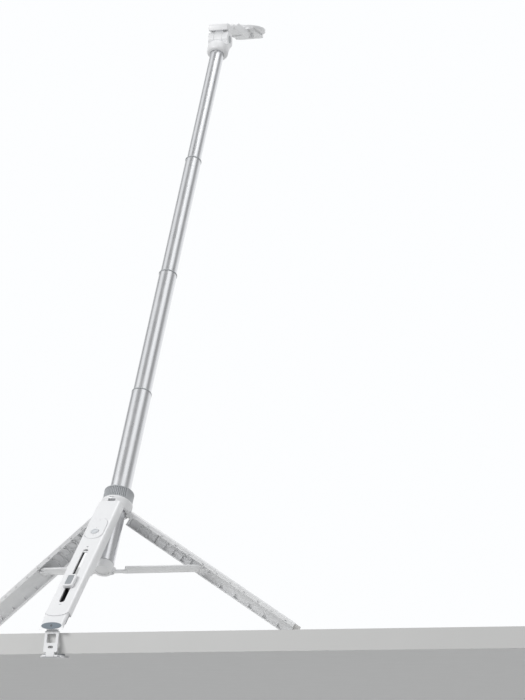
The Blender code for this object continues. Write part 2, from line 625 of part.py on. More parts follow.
# ---- clamp -----------------------------------------------------------------------------------
def build_slider(carrier):
    """Slider of the clamp; the frame's origin is under the knob's middle."""
    shift = (0.0, 0.0, -leg_z(KNOB_AT))
    slider = piece("clamp_slider", moved(leg_box(11.5, *SLIDER_N, SLIDER_FROM, HOOK_AT - 3.5), shift),
                   carrier, "white_plastic")
    fuse(slider, moved(leg_box(1.8, SLIDER_N[0] + 1.0, FRONT_FACE + 1.5, KNOB_AT - 6.0, KNOB_AT + 6.0),
                       shift))
    for low, high in ((7.0, 11.0), (-11.0, -7.0)):
        ear = arc(leg_y(HOOK_N), leg_z(HOOK_AT), HOOK_KNUCKLE, 180.0, 360.0, 8)
        ear += [(leg_y(HOOK_N - 1.0), leg_z(HOOK_AT - 4.5)), (leg_y(HOOK_N + 1.0), leg_z(HOOK_AT - 4.5))]
        fuse(slider, moved(prism(ear, low, high, "X"), shift))
    cut(slider, moved(rod(HOOK_PIN + GAP, 12.0, leg_y(HOOK_N), leg_z(HOOK_AT)), shift))
    piece("hook_pin", moved(rod(HOOK_PIN, 10.8, leg_y(HOOK_N), leg_z(HOOK_AT)), shift), carrier,
          "steel")
    knob = facing(rounded(KNOB_WIDTH / 2.0, KNOB_LENGTH / 2.0, 3.0), FRONT_FACE + GAP,
                  FRONT_FACE + GAP + KNOB_HEIGHT)
    knob = piece("clamp_knob", knob, carrier, "white_plastic")
    cut(knob, facing([(-2.1, -6.3), (2.1, -6.3), (2.1, 6.3), (-2.1, 6.3)], FRONT_FACE - 1.0,
                     FRONT_FACE + 1.5 + GAP))
    cut(knob, facing(rounded(3.9, 8.7, 1.5), FRONT_FACE + KNOB_HEIGHT - 0.9, FRONT_FACE + 6.0))
    piece("knob_pad", facing(rounded(3.6, 8.4, 1.3), FRONT_FACE + KNOB_HEIGHT - 0.6,
                             FRONT_FACE + KNOB_HEIGHT + 0.1), carrier, "grey_rubber")


def build_hook(carrier):
    """Hook arm from its pin (the frame's origin) down to the plate's hinge."""
    half = HOOK_THICK / 2.0
    arm = piece("hook_arm", box(-HOOK_HALF, HOOK_HALF, -half, half, -HOOK_LENGTH + 4.5, -4.6), carrier,
                "white_plastic")
    eye = arc(0.0, 0.0, HOOK_KNUCKLE, 0.0, 180.0, 8) + [(-half, -6.0), (half, -6.0)]
    fuse(arm, prism(eye, -6.7, 6.7, "X"))
    foot = arc(0.0, -HOOK_LENGTH, HOOK_KNUCKLE, 180.0, 360.0, 8)
    foot += [(half, -HOOK_LENGTH + 6.0), (-half, -HOOK_LENGTH + 6.0)]
    fuse(arm, prism(foot, -5.0, 5.0, "X"))
    cut(arm, box(-5.6, 5.6, -4.0, 4.0, -20.0, -7.5))
    cut(arm, rod(HOOK_PIN + GAP, 8.0))
    cut(arm, rod(HOOK_PIN + GAP, 8.0, 0.0, -HOOK_LENGTH))
    piece("plate_pin", rod(HOOK_PIN, 9.3, 0.0, -HOOK_LENGTH), carrier, "steel")


def build_plate(carrier):
    """Plate that grips the table from below; its hinge is the frame's origin."""
    low = -PLATE_THICK / 2.0
    high = PLATE_THICK / 2.0
    start = 2.6
    plate = piece("hook_plate", prism([
        (-PLATE_HALF, start), (PLATE_HALF, start), (PLATE_HALF, PLATE_DEPTH - 5.0),
        (PLATE_BAR_HALF, PLATE_DEPTH - 4.0), (PLATE_BAR_HALF, PLATE_DEPTH),
        (-PLATE_BAR_HALF, PLATE_DEPTH), (-PLATE_BAR_HALF, PLATE_DEPTH - 4.0),
        (-PLATE_HALF, PLATE_DEPTH - 5.0)], low, high), carrier, "white_plastic")
    for x0, x1 in ((5.4, 9.6), (-9.6, -5.4)):
        lug = arc(0.0, 0.0, HOOK_KNUCKLE, 90.0, 270.0, 8) + [(4.0, low), (4.0, high)]
        fuse(plate, prism(lug, x0, x1, "X"))
    cut(plate, rod(HOOK_PIN + GAP, 12.0))
    pad = prism(rounded(PLATE_HALF - 1.4, (PLATE_DEPTH - 6.0) / 2.0, 2.0), high + GAP,
                high + GAP + PAD_THICK)
    piece("clamp_pad", moved(pad, (0.0, (PLATE_DEPTH + 4.0) / 2.0, 0.0)), carrier, "grey_rubber")


def main():
    clear_scene()
    stand = body("stand", turn=-LEAN)
    root = body("root", stand)
    build_hub(root)
    build_lock_ring(body("lock_ring", root))

    pole = [body(f"pole_{index}", root) for index in range(1, 5)]
    build_pole(pole)

    head = body("head", pole[3], (0.0, 0.0, HEAD_Z))
    build_fork(head)
    arm = body("arm", head, turn=90.0 - ARM_OPEN)
    build_arm(arm)
    tilt = body("disc_tilt", arm, (0.0, ARM_LENGTH, ARM_RISE))
    build_carrier(tilt)
    build_disc(body("disc_spin", tilt))

    front = body("front_leg", root, (0.0, -PIN_R, PIN_Z), -FRONT_OPEN)
    build_front_leg(front)
    build_rack(front)
    remote = body("remote", front)
    button = body("remote_button", remote, (0.0, leg_y(REMOTE_FACE), leg_z(BUTTON_AT)))
    build_remote(remote, button)
    slider = body("clamp_slider", front, (0.0, 0.0, leg_z(KNOB_AT)))
    build_slider(slider)
    hook = body("hook_arm", slider, (0.0, leg_y(HOOK_N), KNOB_AT - HOOK_AT), HOOK_SWING)
    build_hook(hook)
    level = LEAN + FRONT_OPEN - HOOK_SWING
    plate = body("hook_plate", hook, (0.0, 0.0, -HOOK_LENGTH), level)
    build_plate(plate)

    length, turn = strut_fit()
    for label, azimuth in (("right", REAR_AZIMUTH), ("left", -REAR_AZIMUTH)):
        leg = body(f"rear_leg_{label}", root, (0.0, -PIN_R, PIN_Z), -REAR_OPEN, azimuth)
        build_rear_leg(label, leg)
        strut = body(f"strut_{label}", leg, (0.0, leg_y(STRUT_N), leg_z(STRUT_ON_LEG)), turn)
        build_strut(label, strut, length)

    bpy.context.view_layer.update()
    pad_top = Vector((0.0, (PLATE_DEPTH + 4.0) / 2.0, PLATE_THICK / 2.0 + GAP + PAD_THICK)) * MM
    stand.location = stand.location - plate.matrix_world @ pad_top


if __name__ == "__main__":
    main()
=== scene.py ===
"""Looks of a selfie stick that stands as an overhead phone rig, clamped to a table's edge.

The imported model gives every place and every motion.  This script gives each visible piece its
finished shape and its finish.  Shapes are drawn in millimetres, in the frame of the body that
carries them, and are placed in the row's frame in metres.
"""
from __future__ import annotations

import json
import logging
import math
from dataclasses import dataclass, field
from enum import Enum
from typing import Sequence

import bmesh
import bpy
from mathutils import Matrix, Vector


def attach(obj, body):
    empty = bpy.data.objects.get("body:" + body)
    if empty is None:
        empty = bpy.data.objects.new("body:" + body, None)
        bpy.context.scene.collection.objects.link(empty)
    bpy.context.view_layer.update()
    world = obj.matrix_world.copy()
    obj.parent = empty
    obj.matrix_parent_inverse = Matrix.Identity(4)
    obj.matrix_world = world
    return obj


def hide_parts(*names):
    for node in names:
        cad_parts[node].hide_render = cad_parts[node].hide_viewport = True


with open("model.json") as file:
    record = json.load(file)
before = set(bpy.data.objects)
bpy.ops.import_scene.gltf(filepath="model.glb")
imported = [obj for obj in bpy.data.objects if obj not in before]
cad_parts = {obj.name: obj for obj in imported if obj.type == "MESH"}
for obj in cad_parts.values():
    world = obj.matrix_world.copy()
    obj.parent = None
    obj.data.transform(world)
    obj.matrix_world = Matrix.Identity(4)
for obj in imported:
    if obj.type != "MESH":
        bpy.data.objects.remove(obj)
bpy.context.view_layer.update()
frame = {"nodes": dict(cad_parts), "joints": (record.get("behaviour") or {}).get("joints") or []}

LOG = logging.getLogger("selfie_stick")
MM = 0.001

Point = tuple[float, float]


class Along(Enum):
    """Direction in which a flat outline is extruded."""

    X = "x"
    Y = "y"
    Z = "z"


class Side(Enum):
    """Which rear leg a piece belongs to; the value is its turn round the pole in degrees."""

    RIGHT = 120.0
    LEFT = -120.0


# ---- drawing ---------------------------------------------------------------------------------
def arc(centre: Point, radius: float, start: float, stop: float, steps: int) -> list[Point]:
    """Points of an arc.

    Args:
        centre: the arc's centre.
        radius: its radius.
        start: first angle in degrees.
        stop: last angle in degrees.
        steps: number of straight stretches.

    Returns:
        The points, both ends included.
    """
    points = []
    for step in range(steps + 1):
        angle = math.radians(start + (stop - start) * step / steps)
        points.append((centre[0] + radius * math.cos(angle), centre[1] + radius * math.sin(angle)))
    return points


def rounded_box(half_x: float, half_y: float, radius: float, steps: int = 8) -> list[Point]:
    """Outline of a rectangle with round corners, centred on the origin.

    Args:
        half_x: half its width.
        half_y: half its height.
        radius: corner radius.
        steps: stretches in each corner.

    Returns:
        The outline's points, anticlockwise.
    """
    dx, dy = half_x - radius, half_y - radius
    points = []
    for index, (sx, sy) in enumerate(((1, 1), (-1, 1), (-1, -1), (1, -1))):
        points += arc((sx * dx, sy * dy), radius, 90.0 * index, 90.0 * index + 90.0, steps)
    return points


def stadium(radius: float, low: float, high: float, steps: int = 20) -> list[Point]:
    """Outline of a slot with round ends that runs along the second axis.

    Args:
        radius: half its width.
        low: one end on the second axis.
        high: the other end.
        steps: stretches in each round end.

    Returns:
        The outline's points, anticlockwise.
    """
    return (arc((0.0, high - radius), radius, 0.0, 180.0, steps)
            + arc((0.0, low + radius), radius, 180.0, 360.0, steps))


class Solid:
    """A closed shape in the making, in millimetres, in its own body's frame."""

    def __init__(self, bm: bmesh.types.BMesh) -> None:
        """Take over a mesh.

        Args:
            bm: the mesh, which this object frees when it is placed.
        """
        self.bm = bm

    @classmethod
    def turned(cls, profile: Sequence[Point], steps: int = 96) -> Solid:
        """Spin a closed outline round Z.

        Args:
            profile: (radius, height) points.
            steps: number of stretches round the axis.

        Returns:
            The turned solid.
        """
        bm = bmesh.new()
        ring = [bm.verts.new((radius, 0.0, height)) for radius, height in profile]
        edges = [bm.edges.new((a, b)) for a, b in zip(ring, ring[1:] + ring[:1])]
        bmesh.ops.spin(bm, geom=ring + edges, cent=(0, 0, 0), axis=(0, 0, 1),
                       angle=math.tau, steps=steps, use_merge=True)
        bmesh.ops.remove_doubles(bm, verts=bm.verts, dist=1e-4)
        bmesh.ops.dissolve_degenerate(bm, edges=bm.edges, dist=1e-5)
        bmesh.ops.recalc_face_normals(bm, faces=bm.faces)
        return cls(bm)

    @classmethod
    def prism(cls, outline: Sequence[Point], low: float, high: float,
              along: Along = Along.Z) -> Solid:
        """Extrude a flat outline.

        Args:
            outline: points as (x, y) along Z, (y, z) along X and (x, z) along Y.
            low: where it starts.
            high: where it ends.
            along: the direction of the extrusion.

        Returns:
            The prism.
        """
        place = {Along.X: lambda a, b, c: (c, a, b), Along.Y: lambda a, b, c: (a, c, b),
                 Along.Z: lambda a, b, c: (a, b, c)}[along]
        bm = bmesh.new()
        face = bm.faces.new([bm.verts.new(place(a, b, low)) for a, b in outline])
        grown = bmesh.ops.extrude_face_region(bm, geom=[face])["geom"]
        bmesh.ops.translate(bm, vec=place(0.0, 0.0, high - low),
                            verts=[item for item in grown if isinstance(item, bmesh.types.BMVert)])
        bmesh.ops.recalc_face_normals(bm, faces=bm.faces)
        return cls(bm)

    @classmethod
    def box(cls, low: Sequence[float], high: Sequence[float]) -> Solid:
        """A plain block between two corners."""
        outline = [(low[0], low[1]), (high[0], low[1]), (high[0], high[1]), (low[0], high[1])]
        return cls.prism(outline, low[2], high[2])

    @classmethod
    def rod(cls, radius: float, half: float, at: Point = (0.0, 0.0), steps: int = 40) -> Solid:
        """A round bar along X through a (y, z) point."""
        return cls.prism(arc(at, radius, 0.0, 360.0 - 360.0 / steps, steps - 1), -half, half, Along.X)

    @classmethod
    def from_node(cls, node: str) -> Solid:
        """A merged copy of a CAD node, in metres and in the row's frame."""
        bm = bmesh.new()
        bm.from_mesh(frame["nodes"][node].data)
        bmesh.ops.remove_doubles(bm, verts=bm.verts, dist=2e-6)
        bmesh.ops.dissolve_limit(bm, angle_limit=math.radians(1.0), verts=bm.verts, edges=bm.edges)
        return cls(bm)

    def moved(self, at: Sequence[float] = (0.0, 0.0, 0.0), about_z: float = 0.0,
              about_x: float = 0.0) -> Solid:
        """Turn and shift the shape.

        Args:
            at: the shift.
            about_z: turn round Z in degrees, after the shift.
            about_x: turn round X in degrees, before the shift.

        Returns:
            The same solid.
        """
        turn = Matrix.Rotation(math.radians(about_z), 4, "Z")
        roll = Matrix.Rotation(math.radians(about_x), 4, "X")
        bmesh.ops.transform(self.bm, matrix=turn @ Matrix.Translation(Vector(at)) @ roll,
                            verts=self.bm.verts)
        return self

    def cut(self, *tools: Solid) -> Solid:
        """Take other shapes away."""
        return self._combined(tools, "DIFFERENCE")

    def join(self, *tools: Solid) -> Solid:
        """Melt other shapes into this one."""
        return self._combined(tools, "UNION")

    def keep(self, tool: Solid) -> Solid:
        """Keep only what is also inside another shape."""
        return self._combined((tool,), "INTERSECT")

    def _combined(self, tools: Sequence[Solid], operation: str) -> Solid:
        """Apply one exact Boolean with each tool in turn.

        Args:
            tools: the other shapes, which are used up.
            operation: DIFFERENCE or UNION.

        Returns:
            The same solid.
        """
        base = loose_object("work", self.bm)
        others = [loose_object("work_tool", tool.bm) for tool in tools]
        for other in others:
            boolean = base.modifiers.new("combine", "BOOLEAN")
            boolean.operation = operation
            boolean.solver = "EXACT"
            boolean.object = other
        mesh = applied_mesh(base)
        self.bm = bmesh.new()
        self.bm.from_mesh(mesh)
        bpy.data.meshes.remove(mesh)
        for item in [base, *others]:
            bpy.data.objects.remove(item)
        return self

    def softened(self, width: float, low: Sequence[float], high: Sequence[float],
                 segments: int = 6) -> Solid:
        """Bevel the edges that lie wholly in a box.

        Args:
            width: the bevel's width.
            low: the box's lowest corner.
            high: its highest corner.
            segments: number of stretches across the bevel.

        Returns:
            The same solid.
        """
        def inside(co: Vector) -> bool:
            """Whether a point is in the box."""
            return all(a - 1e-4 <= c <= b + 1e-4 for a, c, b in zip(low, co, high))

        edges = [edge for edge in self.bm.edges if all(inside(vert.co) for vert in edge.verts)
                 and edge.calc_face_angle(0.0) > math.radians(25.0)]
        bmesh.ops.bevel(self.bm, geom=edges, offset=width, offset_type="OFFSET", affect="EDGES",
                        segments=segments, profile=0.5, material=-1, clamp_overlap=True)
        return self


def loose_object(name: str, bm: bmesh.types.BMesh) -> bpy.types.Object:
    """Put a mesh in a new object of the scene and free it."""
    mesh = bpy.data.meshes.new(name)
    bm.to_mesh(mesh)
    bm.free()
    obj = bpy.data.objects.new(name, mesh)
    bpy.context.scene.collection.objects.link(obj)
    return obj


def applied_mesh(obj: bpy.types.Object) -> bpy.types.Mesh:
    """A new mesh with the object's modifiers applied."""
    graph = bpy.context.evaluated_depsgraph_get()
    return bpy.data.meshes.new_from_object(obj.evaluated_get(graph), depsgraph=graph)


# ---- shader groups ---------------------------------------------------------------------------
class ShaderGroups:
    """Effects that several finishes share, each built once."""

    def __init__(self) -> None:
        """Start with no group built."""
        self._built: dict[str, bpy.types.NodeTree] = {}

    def _new(self, name: str, inputs: dict[str, float | None],
             outputs: dict[str, str]) -> bpy.types.NodeTree:
        """Make an empty group.

        Args:
            name: the group's name.
            inputs: value sockets and their defaults; None makes a vector socket.
            outputs: output sockets and their socket types.

        Returns:
            The node tree.
        """
        tree = bpy.data.node_groups.new(name, "ShaderNodeTree")
        for label, default in inputs.items():
            kind = "NodeSocketVector" if default is None else "NodeSocketFloat"
            socket = tree.interface.new_socket(name=label, in_out="INPUT", socket_type=kind)
            if default is not None:
                socket.default_value = default
        for label, kind in outputs.items():
            tree.interface.new_socket(name=label, in_out="OUTPUT", socket_type=kind)
        tree.nodes.new("NodeGroupInput").name = "in"
        tree.nodes.new("NodeGroupOutput").name = "out"
        self._built[name] = tree
        return tree

    def moulded_grain(self) -> bpy.types.NodeTree:
        """Fine spark-eroded mould texture: a height, and a slow drift in tone."""
        if "moulded_grain" in self._built:
            return self._built["moulded_grain"]
        tree = self._new("moulded_grain", {"Vector": None, "Grain": 2600.0, "Drift": 14.0},
                         {"Height": "NodeSocketFloat", "Tone": "NodeSocketFloat"})
        nodes, links = tree.nodes, tree.links
        fine = nodes.new("ShaderNodeTexNoise")
        fine.inputs["Detail"].default_value = 3.0
        links.new(nodes["in"].outputs["Vector"], fine.inputs["Vector"])
        links.new(nodes["in"].outputs["Grain"], fine.inputs["Scale"])
        slow = nodes.new("ShaderNodeTexNoise")
        slow.inputs["Detail"].default_value = 4.0
        links.new(nodes["in"].outputs["Vector"], slow.inputs["Vector"])
        links.new(nodes["in"].outputs["Drift"], slow.inputs["Scale"])
        links.new(fine.outputs["Fac"], nodes["out"].inputs["Height"])
        links.new(slow.outputs["Fac"], nodes["out"].inputs["Tone"])
        return tree

    def drawn_lines(self) -> bpy.types.NodeTree:
        """Long fine lines of a drawn or brushed metal, along the vector's Z."""
        if "drawn_lines" in self._built:
            return self._built["drawn_lines"]
        tree = self._new("drawn_lines", {"Vector": None, "Lines": 900.0, "Length": 0.02},
                         {"Height": "NodeSocketFloat", "Streak": "NodeSocketFloat"})
        nodes, links = tree.nodes, tree.links
        stretch = nodes.new("ShaderNodeVectorMath")
        stretch.operation = "MULTIPLY"
        scale = nodes.new("ShaderNodeCombineXYZ")
        scale.inputs[0].default_value = 1.0
        scale.inputs[1].default_value = 1.0
        links.new(nodes["in"].outputs["Length"], scale.inputs[2])
        links.new(nodes["in"].outputs["Vector"], stretch.inputs[0])
        links.new(scale.outputs[0], stretch.inputs[1])
        lines = nodes.new("ShaderNodeTexNoise")
        lines.inputs["Detail"].default_value = 2.0
        links.new(stretch.outputs[0], lines.inputs["Vector"])
        links.new(nodes["in"].outputs["Lines"], lines.inputs["Scale"])
        links.new(lines.outputs["Fac"], nodes["out"].inputs["Height"])
        links.new(lines.outputs["Fac"], nodes["out"].inputs["Streak"])
        return tree

    def handling(self) -> bpy.types.NodeTree:
        """Soft patches where hands have polished or dusted a surface."""
        if "handling" in self._built:
            return self._built["handling"]
        tree = self._new("handling", {"Vector": None, "Patches": 35.0, "Amount": 0.3},
                         {"Mask": "NodeSocketFloat"})
        nodes, links = tree.nodes, tree.links
        patches = nodes.new("ShaderNodeTexNoise")
        patches.inputs["Detail"].default_value = 6.0
        patches.inputs["Roughness"].default_value = 0.65
        links.new(nodes["in"].outputs["Vector"], patches.inputs["Vector"])
        links.new(nodes["in"].outputs["Patches"], patches.inputs["Scale"])
        ramp = nodes.new("ShaderNodeMapRange")
        ramp.inputs["From Min"].default_value = 0.45
        ramp.inputs["From Max"].default_value = 0.7
        links.new(patches.outputs["Fac"], ramp.inputs["Value"])
        links.new(nodes["in"].outputs["Amount"], ramp.inputs["To Max"])
        links.new(ramp.outputs["Result"], nodes["out"].inputs["Mask"])
        return tree


GROUPS = ShaderGroups()


# ---- finishes --------------------------------------------------------------------------------
@dataclass(frozen=True)
class Finish:
    """A surface: its colour, its gloss, and how its texture is made."""

    name: str
    slot: str
    color: tuple[float, float, float]
    roughness: float
    metallic: float = 0.0
    grain: float = 2600.0
    bump: float = 0.08
    bump_depth: float = 0.00002
    tone_swing: float = 0.03
    handling: float = 0.12
    coat: float = 0.0
    lines: bool = False
    line_axis: tuple[float, float, float] = (0.0, 0.0, 1.0)

    def material(self) -> bpy.types.Material:
        """The Blender material of this finish, made on first use.

        Returns:
            The material.
        """
        known = bpy.data.materials.get(self.name)
        if known is not None:
            return known
        material = bpy.data.materials.new(self.name)
        material.use_nodes = True
        material.diffuse_color = (*self.color, 1.0)
        nodes, links = material.node_tree.nodes, material.node_tree.links
        shader = nodes["Principled BSDF"]
        shader.inputs["Metallic"].default_value = self.metallic
        if self.coat:
            shader.inputs["Coat Weight"].default_value = self.coat
            shader.inputs["Coat Roughness"].default_value = 0.12
        coords = nodes.new("ShaderNodeTexCoord")
        vector = coords.outputs["Object"]
        if self.lines:
            vector = self._turned(nodes, links, vector)
        texture = nodes.new("ShaderNodeGroup")
        texture.node_tree = GROUPS.drawn_lines() if self.lines else GROUPS.moulded_grain()
        links.new(vector, texture.inputs["Vector"])
        texture.inputs["Lines" if self.lines else "Grain"].default_value = self.grain
        tone = texture.outputs["Streak" if self.lines else "Tone"]
        self._color(nodes, links, shader, tone)
        self._roughness(nodes, links, shader, coords.outputs["Object"], tone)
        bump = nodes.new("ShaderNodeBump")
        bump.inputs["Strength"].default_value = self.bump
        bump.inputs["Distance"].default_value = self.bump_depth
        links.new(texture.outputs["Height"], bump.inputs["Height"])
        links.new(bump.outputs["Normal"], shader.inputs["Normal"])
        return material

    def _turned(self, nodes: bpy.types.Nodes, links: bpy.types.NodeLinks,
                vector: bpy.types.NodeSocket) -> bpy.types.NodeSocket:
        """Turn the coordinates so that their Z runs along the finish's lines."""
        mapping = nodes.new("ShaderNodeMapping")
        mapping.vector_type = "POINT"
        turn = Vector(self.line_axis).rotation_difference(Vector((0.0, 0.0, 1.0)))
        mapping.inputs["Rotation"].default_value = turn.to_euler()
        links.new(vector, mapping.inputs["Vector"])
        return mapping.outputs["Vector"]

    def _color(self, nodes: bpy.types.Nodes, links: bpy.types.NodeLinks,
               shader: bpy.types.Node, tone: bpy.types.NodeSocket) -> None:
        """Let the colour drift a little round its mean."""
        mix = nodes.new("ShaderNodeMix")
        mix.data_type = "RGBA"
        low = [max(0.0, c * (1.0 - self.tone_swing)) for c in self.color]
        high = [min(1.0, c * (1.0 + self.tone_swing)) for c in self.color]
        mix.inputs[6].default_value = (*low, 1.0)
        mix.inputs[7].default_value = (*high, 1.0)
        links.new(tone, mix.inputs[0])
        links.new(mix.outputs[2], shader.inputs["Base Color"])

    def _roughness(self, nodes: bpy.types.Nodes, links: bpy.types.NodeLinks,
                   shader: bpy.types.Node, vector: bpy.types.NodeSocket,
                   tone: bpy.types.NodeSocket) -> None:
        """Base roughness, varied by the texture and by handling."""
        patches = nodes.new("ShaderNodeGroup")
        patches.node_tree = GROUPS.handling()
        patches.inputs["Amount"].default_value = self.handling
        links.new(vector, patches.inputs["Vector"])
        vary = nodes.new("ShaderNodeMapRange")
        vary.inputs["To Min"].default_value = self.roughness - 0.04
        vary.inputs["To Max"].default_value = self.roughness + 0.04
        links.new(tone, vary.inputs["Value"])
        total = nodes.new("ShaderNodeMath")
        total.operation = "ADD"
        total.use_clamp = True
        links.new(vary.outputs["Result"], total.inputs[0])
        links.new(patches.outputs["Mask"], total.inputs[1])
        links.new(total.outputs[0], shader.inputs["Roughness"])


WHITE = Finish("white_moulding", "white", (0.79, 0.795, 0.805), 0.30, grain=2400.0, bump=0.10,
               tone_swing=0.02, handling=0.10)
# Darker copy of the white moulding for the slider seen down in the slot: painted shade.
WHITE_INNER_SHADED = Finish("white_inner_moulding", "white", (0.74, 0.735, 0.73), 0.45, bump=0.14)
RING_GREY = Finish("ring_grey_moulding", "grey", (0.40, 0.415, 0.43), 0.38, bump=0.14)
BUTTON_GREY = Finish("button_grey_moulding", "grey", (0.62, 0.64, 0.66), 0.42, bump=0.12)
MARK_GREY = Finish("printed_grey_mark", "grey", (0.22, 0.23, 0.25), 0.5, bump=0.05)
# Dark plastic of the rack, the board and the foot's screw; also painted shade in the slot and in the
# remote's holes.
DARK = Finish("dark_moulding", "dark", (0.035, 0.036, 0.04), 0.42, bump=0.15)
RUBBER = Finish("blue_grey_rubber", "rubber", (0.20, 0.235, 0.27), 0.72, grain=1500.0, bump=0.35,
                bump_depth=0.00005, handling=0.08, tone_swing=0.08)
PALE_RUBBER = Finish("pale_rubber", "rubber", (0.58, 0.575, 0.57), 0.7, grain=1500.0, bump=0.3,
                     bump_depth=0.00004)
PAD_GREY = Finish("grey_pad_rubber", "rubber", (0.36, 0.38, 0.40), 0.68, grain=1800.0, bump=0.3,
                  bump_depth=0.00004)
STEEL = Finish("turned_steel", "steel", (0.55, 0.56, 0.58), 0.28, metallic=1.0, grain=2200.0,
               bump=0.08)
TUBE = Finish("bright_drawn_tube", "tube", (0.78, 0.785, 0.80), 0.28, metallic=1.0, grain=1400.0,
              bump=0.05, lines=True, handling=0.06, line_axis=(0.0, 0.5, 0.8660254))
TABLE = Finish("pale_table", "white", (0.72, 0.72, 0.71), 0.55, grain=400.0, bump=0.05)
AIM_FROM_POLE = (0.186, 0.004, 0.191)


# ---- where the bodies are --------------------------------------------------------------------
class Layout:
    """Frames of the moving bodies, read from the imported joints."""

    def __init__(self, joints: Sequence[dict]) -> None:
        """Index the joints by name.

        Args:
            joints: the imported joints.
        """
        self.joints = {joint["name"]: joint for joint in joints}

    def place(self, name: str) -> Vector:
        """A hinge's point, in metres."""
        return Vector(self.joints[name]["pos_m"])

    def axis(self, name: str) -> Vector:
        """A joint's axis."""
        return Vector(self.joints[name]["axis"]).normalized()

    @staticmethod
    def matrix(origin: Vector, x: Vector, z: Vector) -> Matrix:
        """Millimetres in a body's frame to metres in the row's frame.

        Args:
            origin: the frame's origin, in metres.
            x: its X axis.
            z: roughly its Z axis.

        Returns:
            The transform.
        """
        x = x.normalized()
        y = z.cross(x).normalized()
        z = x.cross(y)
        turn = Matrix((x, y, z)).transposed().to_4x4()
        return Matrix.Translation(origin) @ turn @ Matrix.Scale(MM, 4)

    def pole(self) -> Matrix:
        """Frame of the hub and the pole, Z up the pole, from the leg pivots' plane."""
        return self.matrix(self.place("lock_ring_turn"), Vector((1, 0, 0)), self.axis("lock_ring_turn"))

    def front_leg(self) -> Matrix:
        """Frame of the front leg, Z up the leg, from its hinge."""
        return self.matrix(self.place("front_leg_fold"), self.axis("front_leg_fold"),
                           -self.axis("clamp_slide"))

    def rear_leg(self, side: Side) -> Matrix:
        """Frame of a rear leg, Z up the leg, from its hinge."""
        leg, strut = self._rear_names(side)
        x = self.axis(leg)
        along = self.place(leg) - self.place(strut)
        offset = RearLeg.strut_pin_y
        lean = -math.asin(offset * MM / along.length)
        return self.matrix(self.place(leg), x, Matrix.Rotation(lean, 3, x) @ along)

    def strut(self, side: Side) -> Matrix:
        """Frame of a strut, Z from the spreader up to its pin on the leg."""
        leg, strut = self._rear_names(side)
        pole = self.pole()
        turn = Matrix.Rotation(math.radians(side.value), 4, "Z")
        foot = pole @ turn @ Vector((0.0, -Spreader.pin_radius, Spreader.pin_height))
        return self.matrix(self.place(strut), self.axis(leg), self.place(strut) - foot)

    @staticmethod
    def _rear_names(side: Side) -> tuple[str, str]:
        """Names of the leg's and the strut's joints."""
        if side is Side.RIGHT:
            return "rear_leg_fold", "strut_right_fold"
        return "rear_leg_left_fold", "strut_left_fold"

    def level(self, name: str) -> Matrix:
        """Frame at a hinge, lined up with the row's axes."""
        return self.matrix(self.place(name), Vector((1, 0, 0)), Vector((0, 0, 1)))

    def head(self) -> Matrix:
        """Frame of the fork, Z up the pole, from the arm's hinge."""
        return self.matrix(self.place("arm_hinge"), Vector((1, 0, 0)), self.axis("lock_ring_turn"))

    def slider(self) -> Matrix:
        """Frame of the clamp's slider: the front leg's own."""
        return self.front_leg()

    def hook(self) -> Matrix:
        """Frame of the hook's arm, Z up the arm, from its pin."""
        top, foot = self.place("hook_swing"), self.place("plate_fold")
        return self.matrix(top, Vector((1, 0, 0)), top - foot)


LAYOUT = Layout(frame["joints"])


def show(name: str, solid: Solid, matrix: Matrix, finish: Finish, body: str,
         nodes: Sequence[str] = (), edge: float = 0.25, segments: int = 2,
         angle: float = 30.0) -> bpy.types.Object:
    """Finish a shape and put it in the scene as one piece.

    Args:
        name: the piece's name.
        solid: its shape, which is used up.
        matrix: its frame in the row's frame.
        finish: its surface.
        body: the CAD body that it rides on.
        nodes: the CAD nodes that it stands for.
        edge: width of the rounding on its sharp edges, in millimetres.
        segments: stretches across that rounding.
        angle: edges sharper than this, in degrees, are rounded.

    Returns:
        The piece.
    """
    bm = solid.bm
    bmesh.ops.remove_doubles(bm, verts=bm.verts, dist=1e-4 if matrix.median_scale < 0.5 else 1e-6)
    bmesh.ops.transform(bm, matrix=matrix, verts=bm.verts)
    obj = loose_object(name, bm)
    obj.data.shade_smooth()
    if edge:
        bevel = obj.modifiers.new("edge", "BEVEL")
        bevel.width = edge * MM
        bevel.segments = segments
        bevel.limit_method = "ANGLE"
        bevel.angle_limit = math.radians(angle)
        bevel.harden_normals = True
        bevel.use_clamp_overlap = True
        mesh = applied_mesh(obj)
        obj.modifiers.clear()
        rough = obj.data
        obj.data = mesh
        bpy.data.meshes.remove(rough)
        mesh.name = name
    else:
        obj.data.set_sharp_from_angle(angle=math.radians(angle))
    obj.data.materials.clear()
    obj.data.materials.append(finish.material())
    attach(obj, body)
    if nodes:
        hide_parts(*nodes)
    LOG.info("%s: %d faces on %s", name, len(obj.data.polygons), body)
    return obj


def dress(nodes: Sequence[str], finish: Finish) -> None:
    """Give plain CAD nodes a finish and keep their shape.

    Args:
        nodes: the nodes' names.
        finish: the surface that they get.
    """
    for name in nodes:
        obj = frame["nodes"][name]
        obj.data.materials.clear()
        obj.data.materials.append(finish.material())
        LOG.info("%s: dressed in %s", name, finish.name)


def refined(node: str, finish: Finish, body: str, edge: float = 0.2) -> None:
    """Replace a small CAD node by a copy with rounded edges.

    Args:
        node: the node's name.
        finish: its surface.
        body: the CAD body that carries it.
        edge: width of the rounding, in millimetres.
    """
    show(f"{node}_finished", Solid.from_node(node), Matrix.Identity(4), finish, body, (node,),
         edge=edge, segments=2, angle=40.0)


# ---- hub, lock ring and pole -----------------------------------------------------------------
PIVOT_RADIUS = 15.4
PIVOT_HEIGHT = 3.4


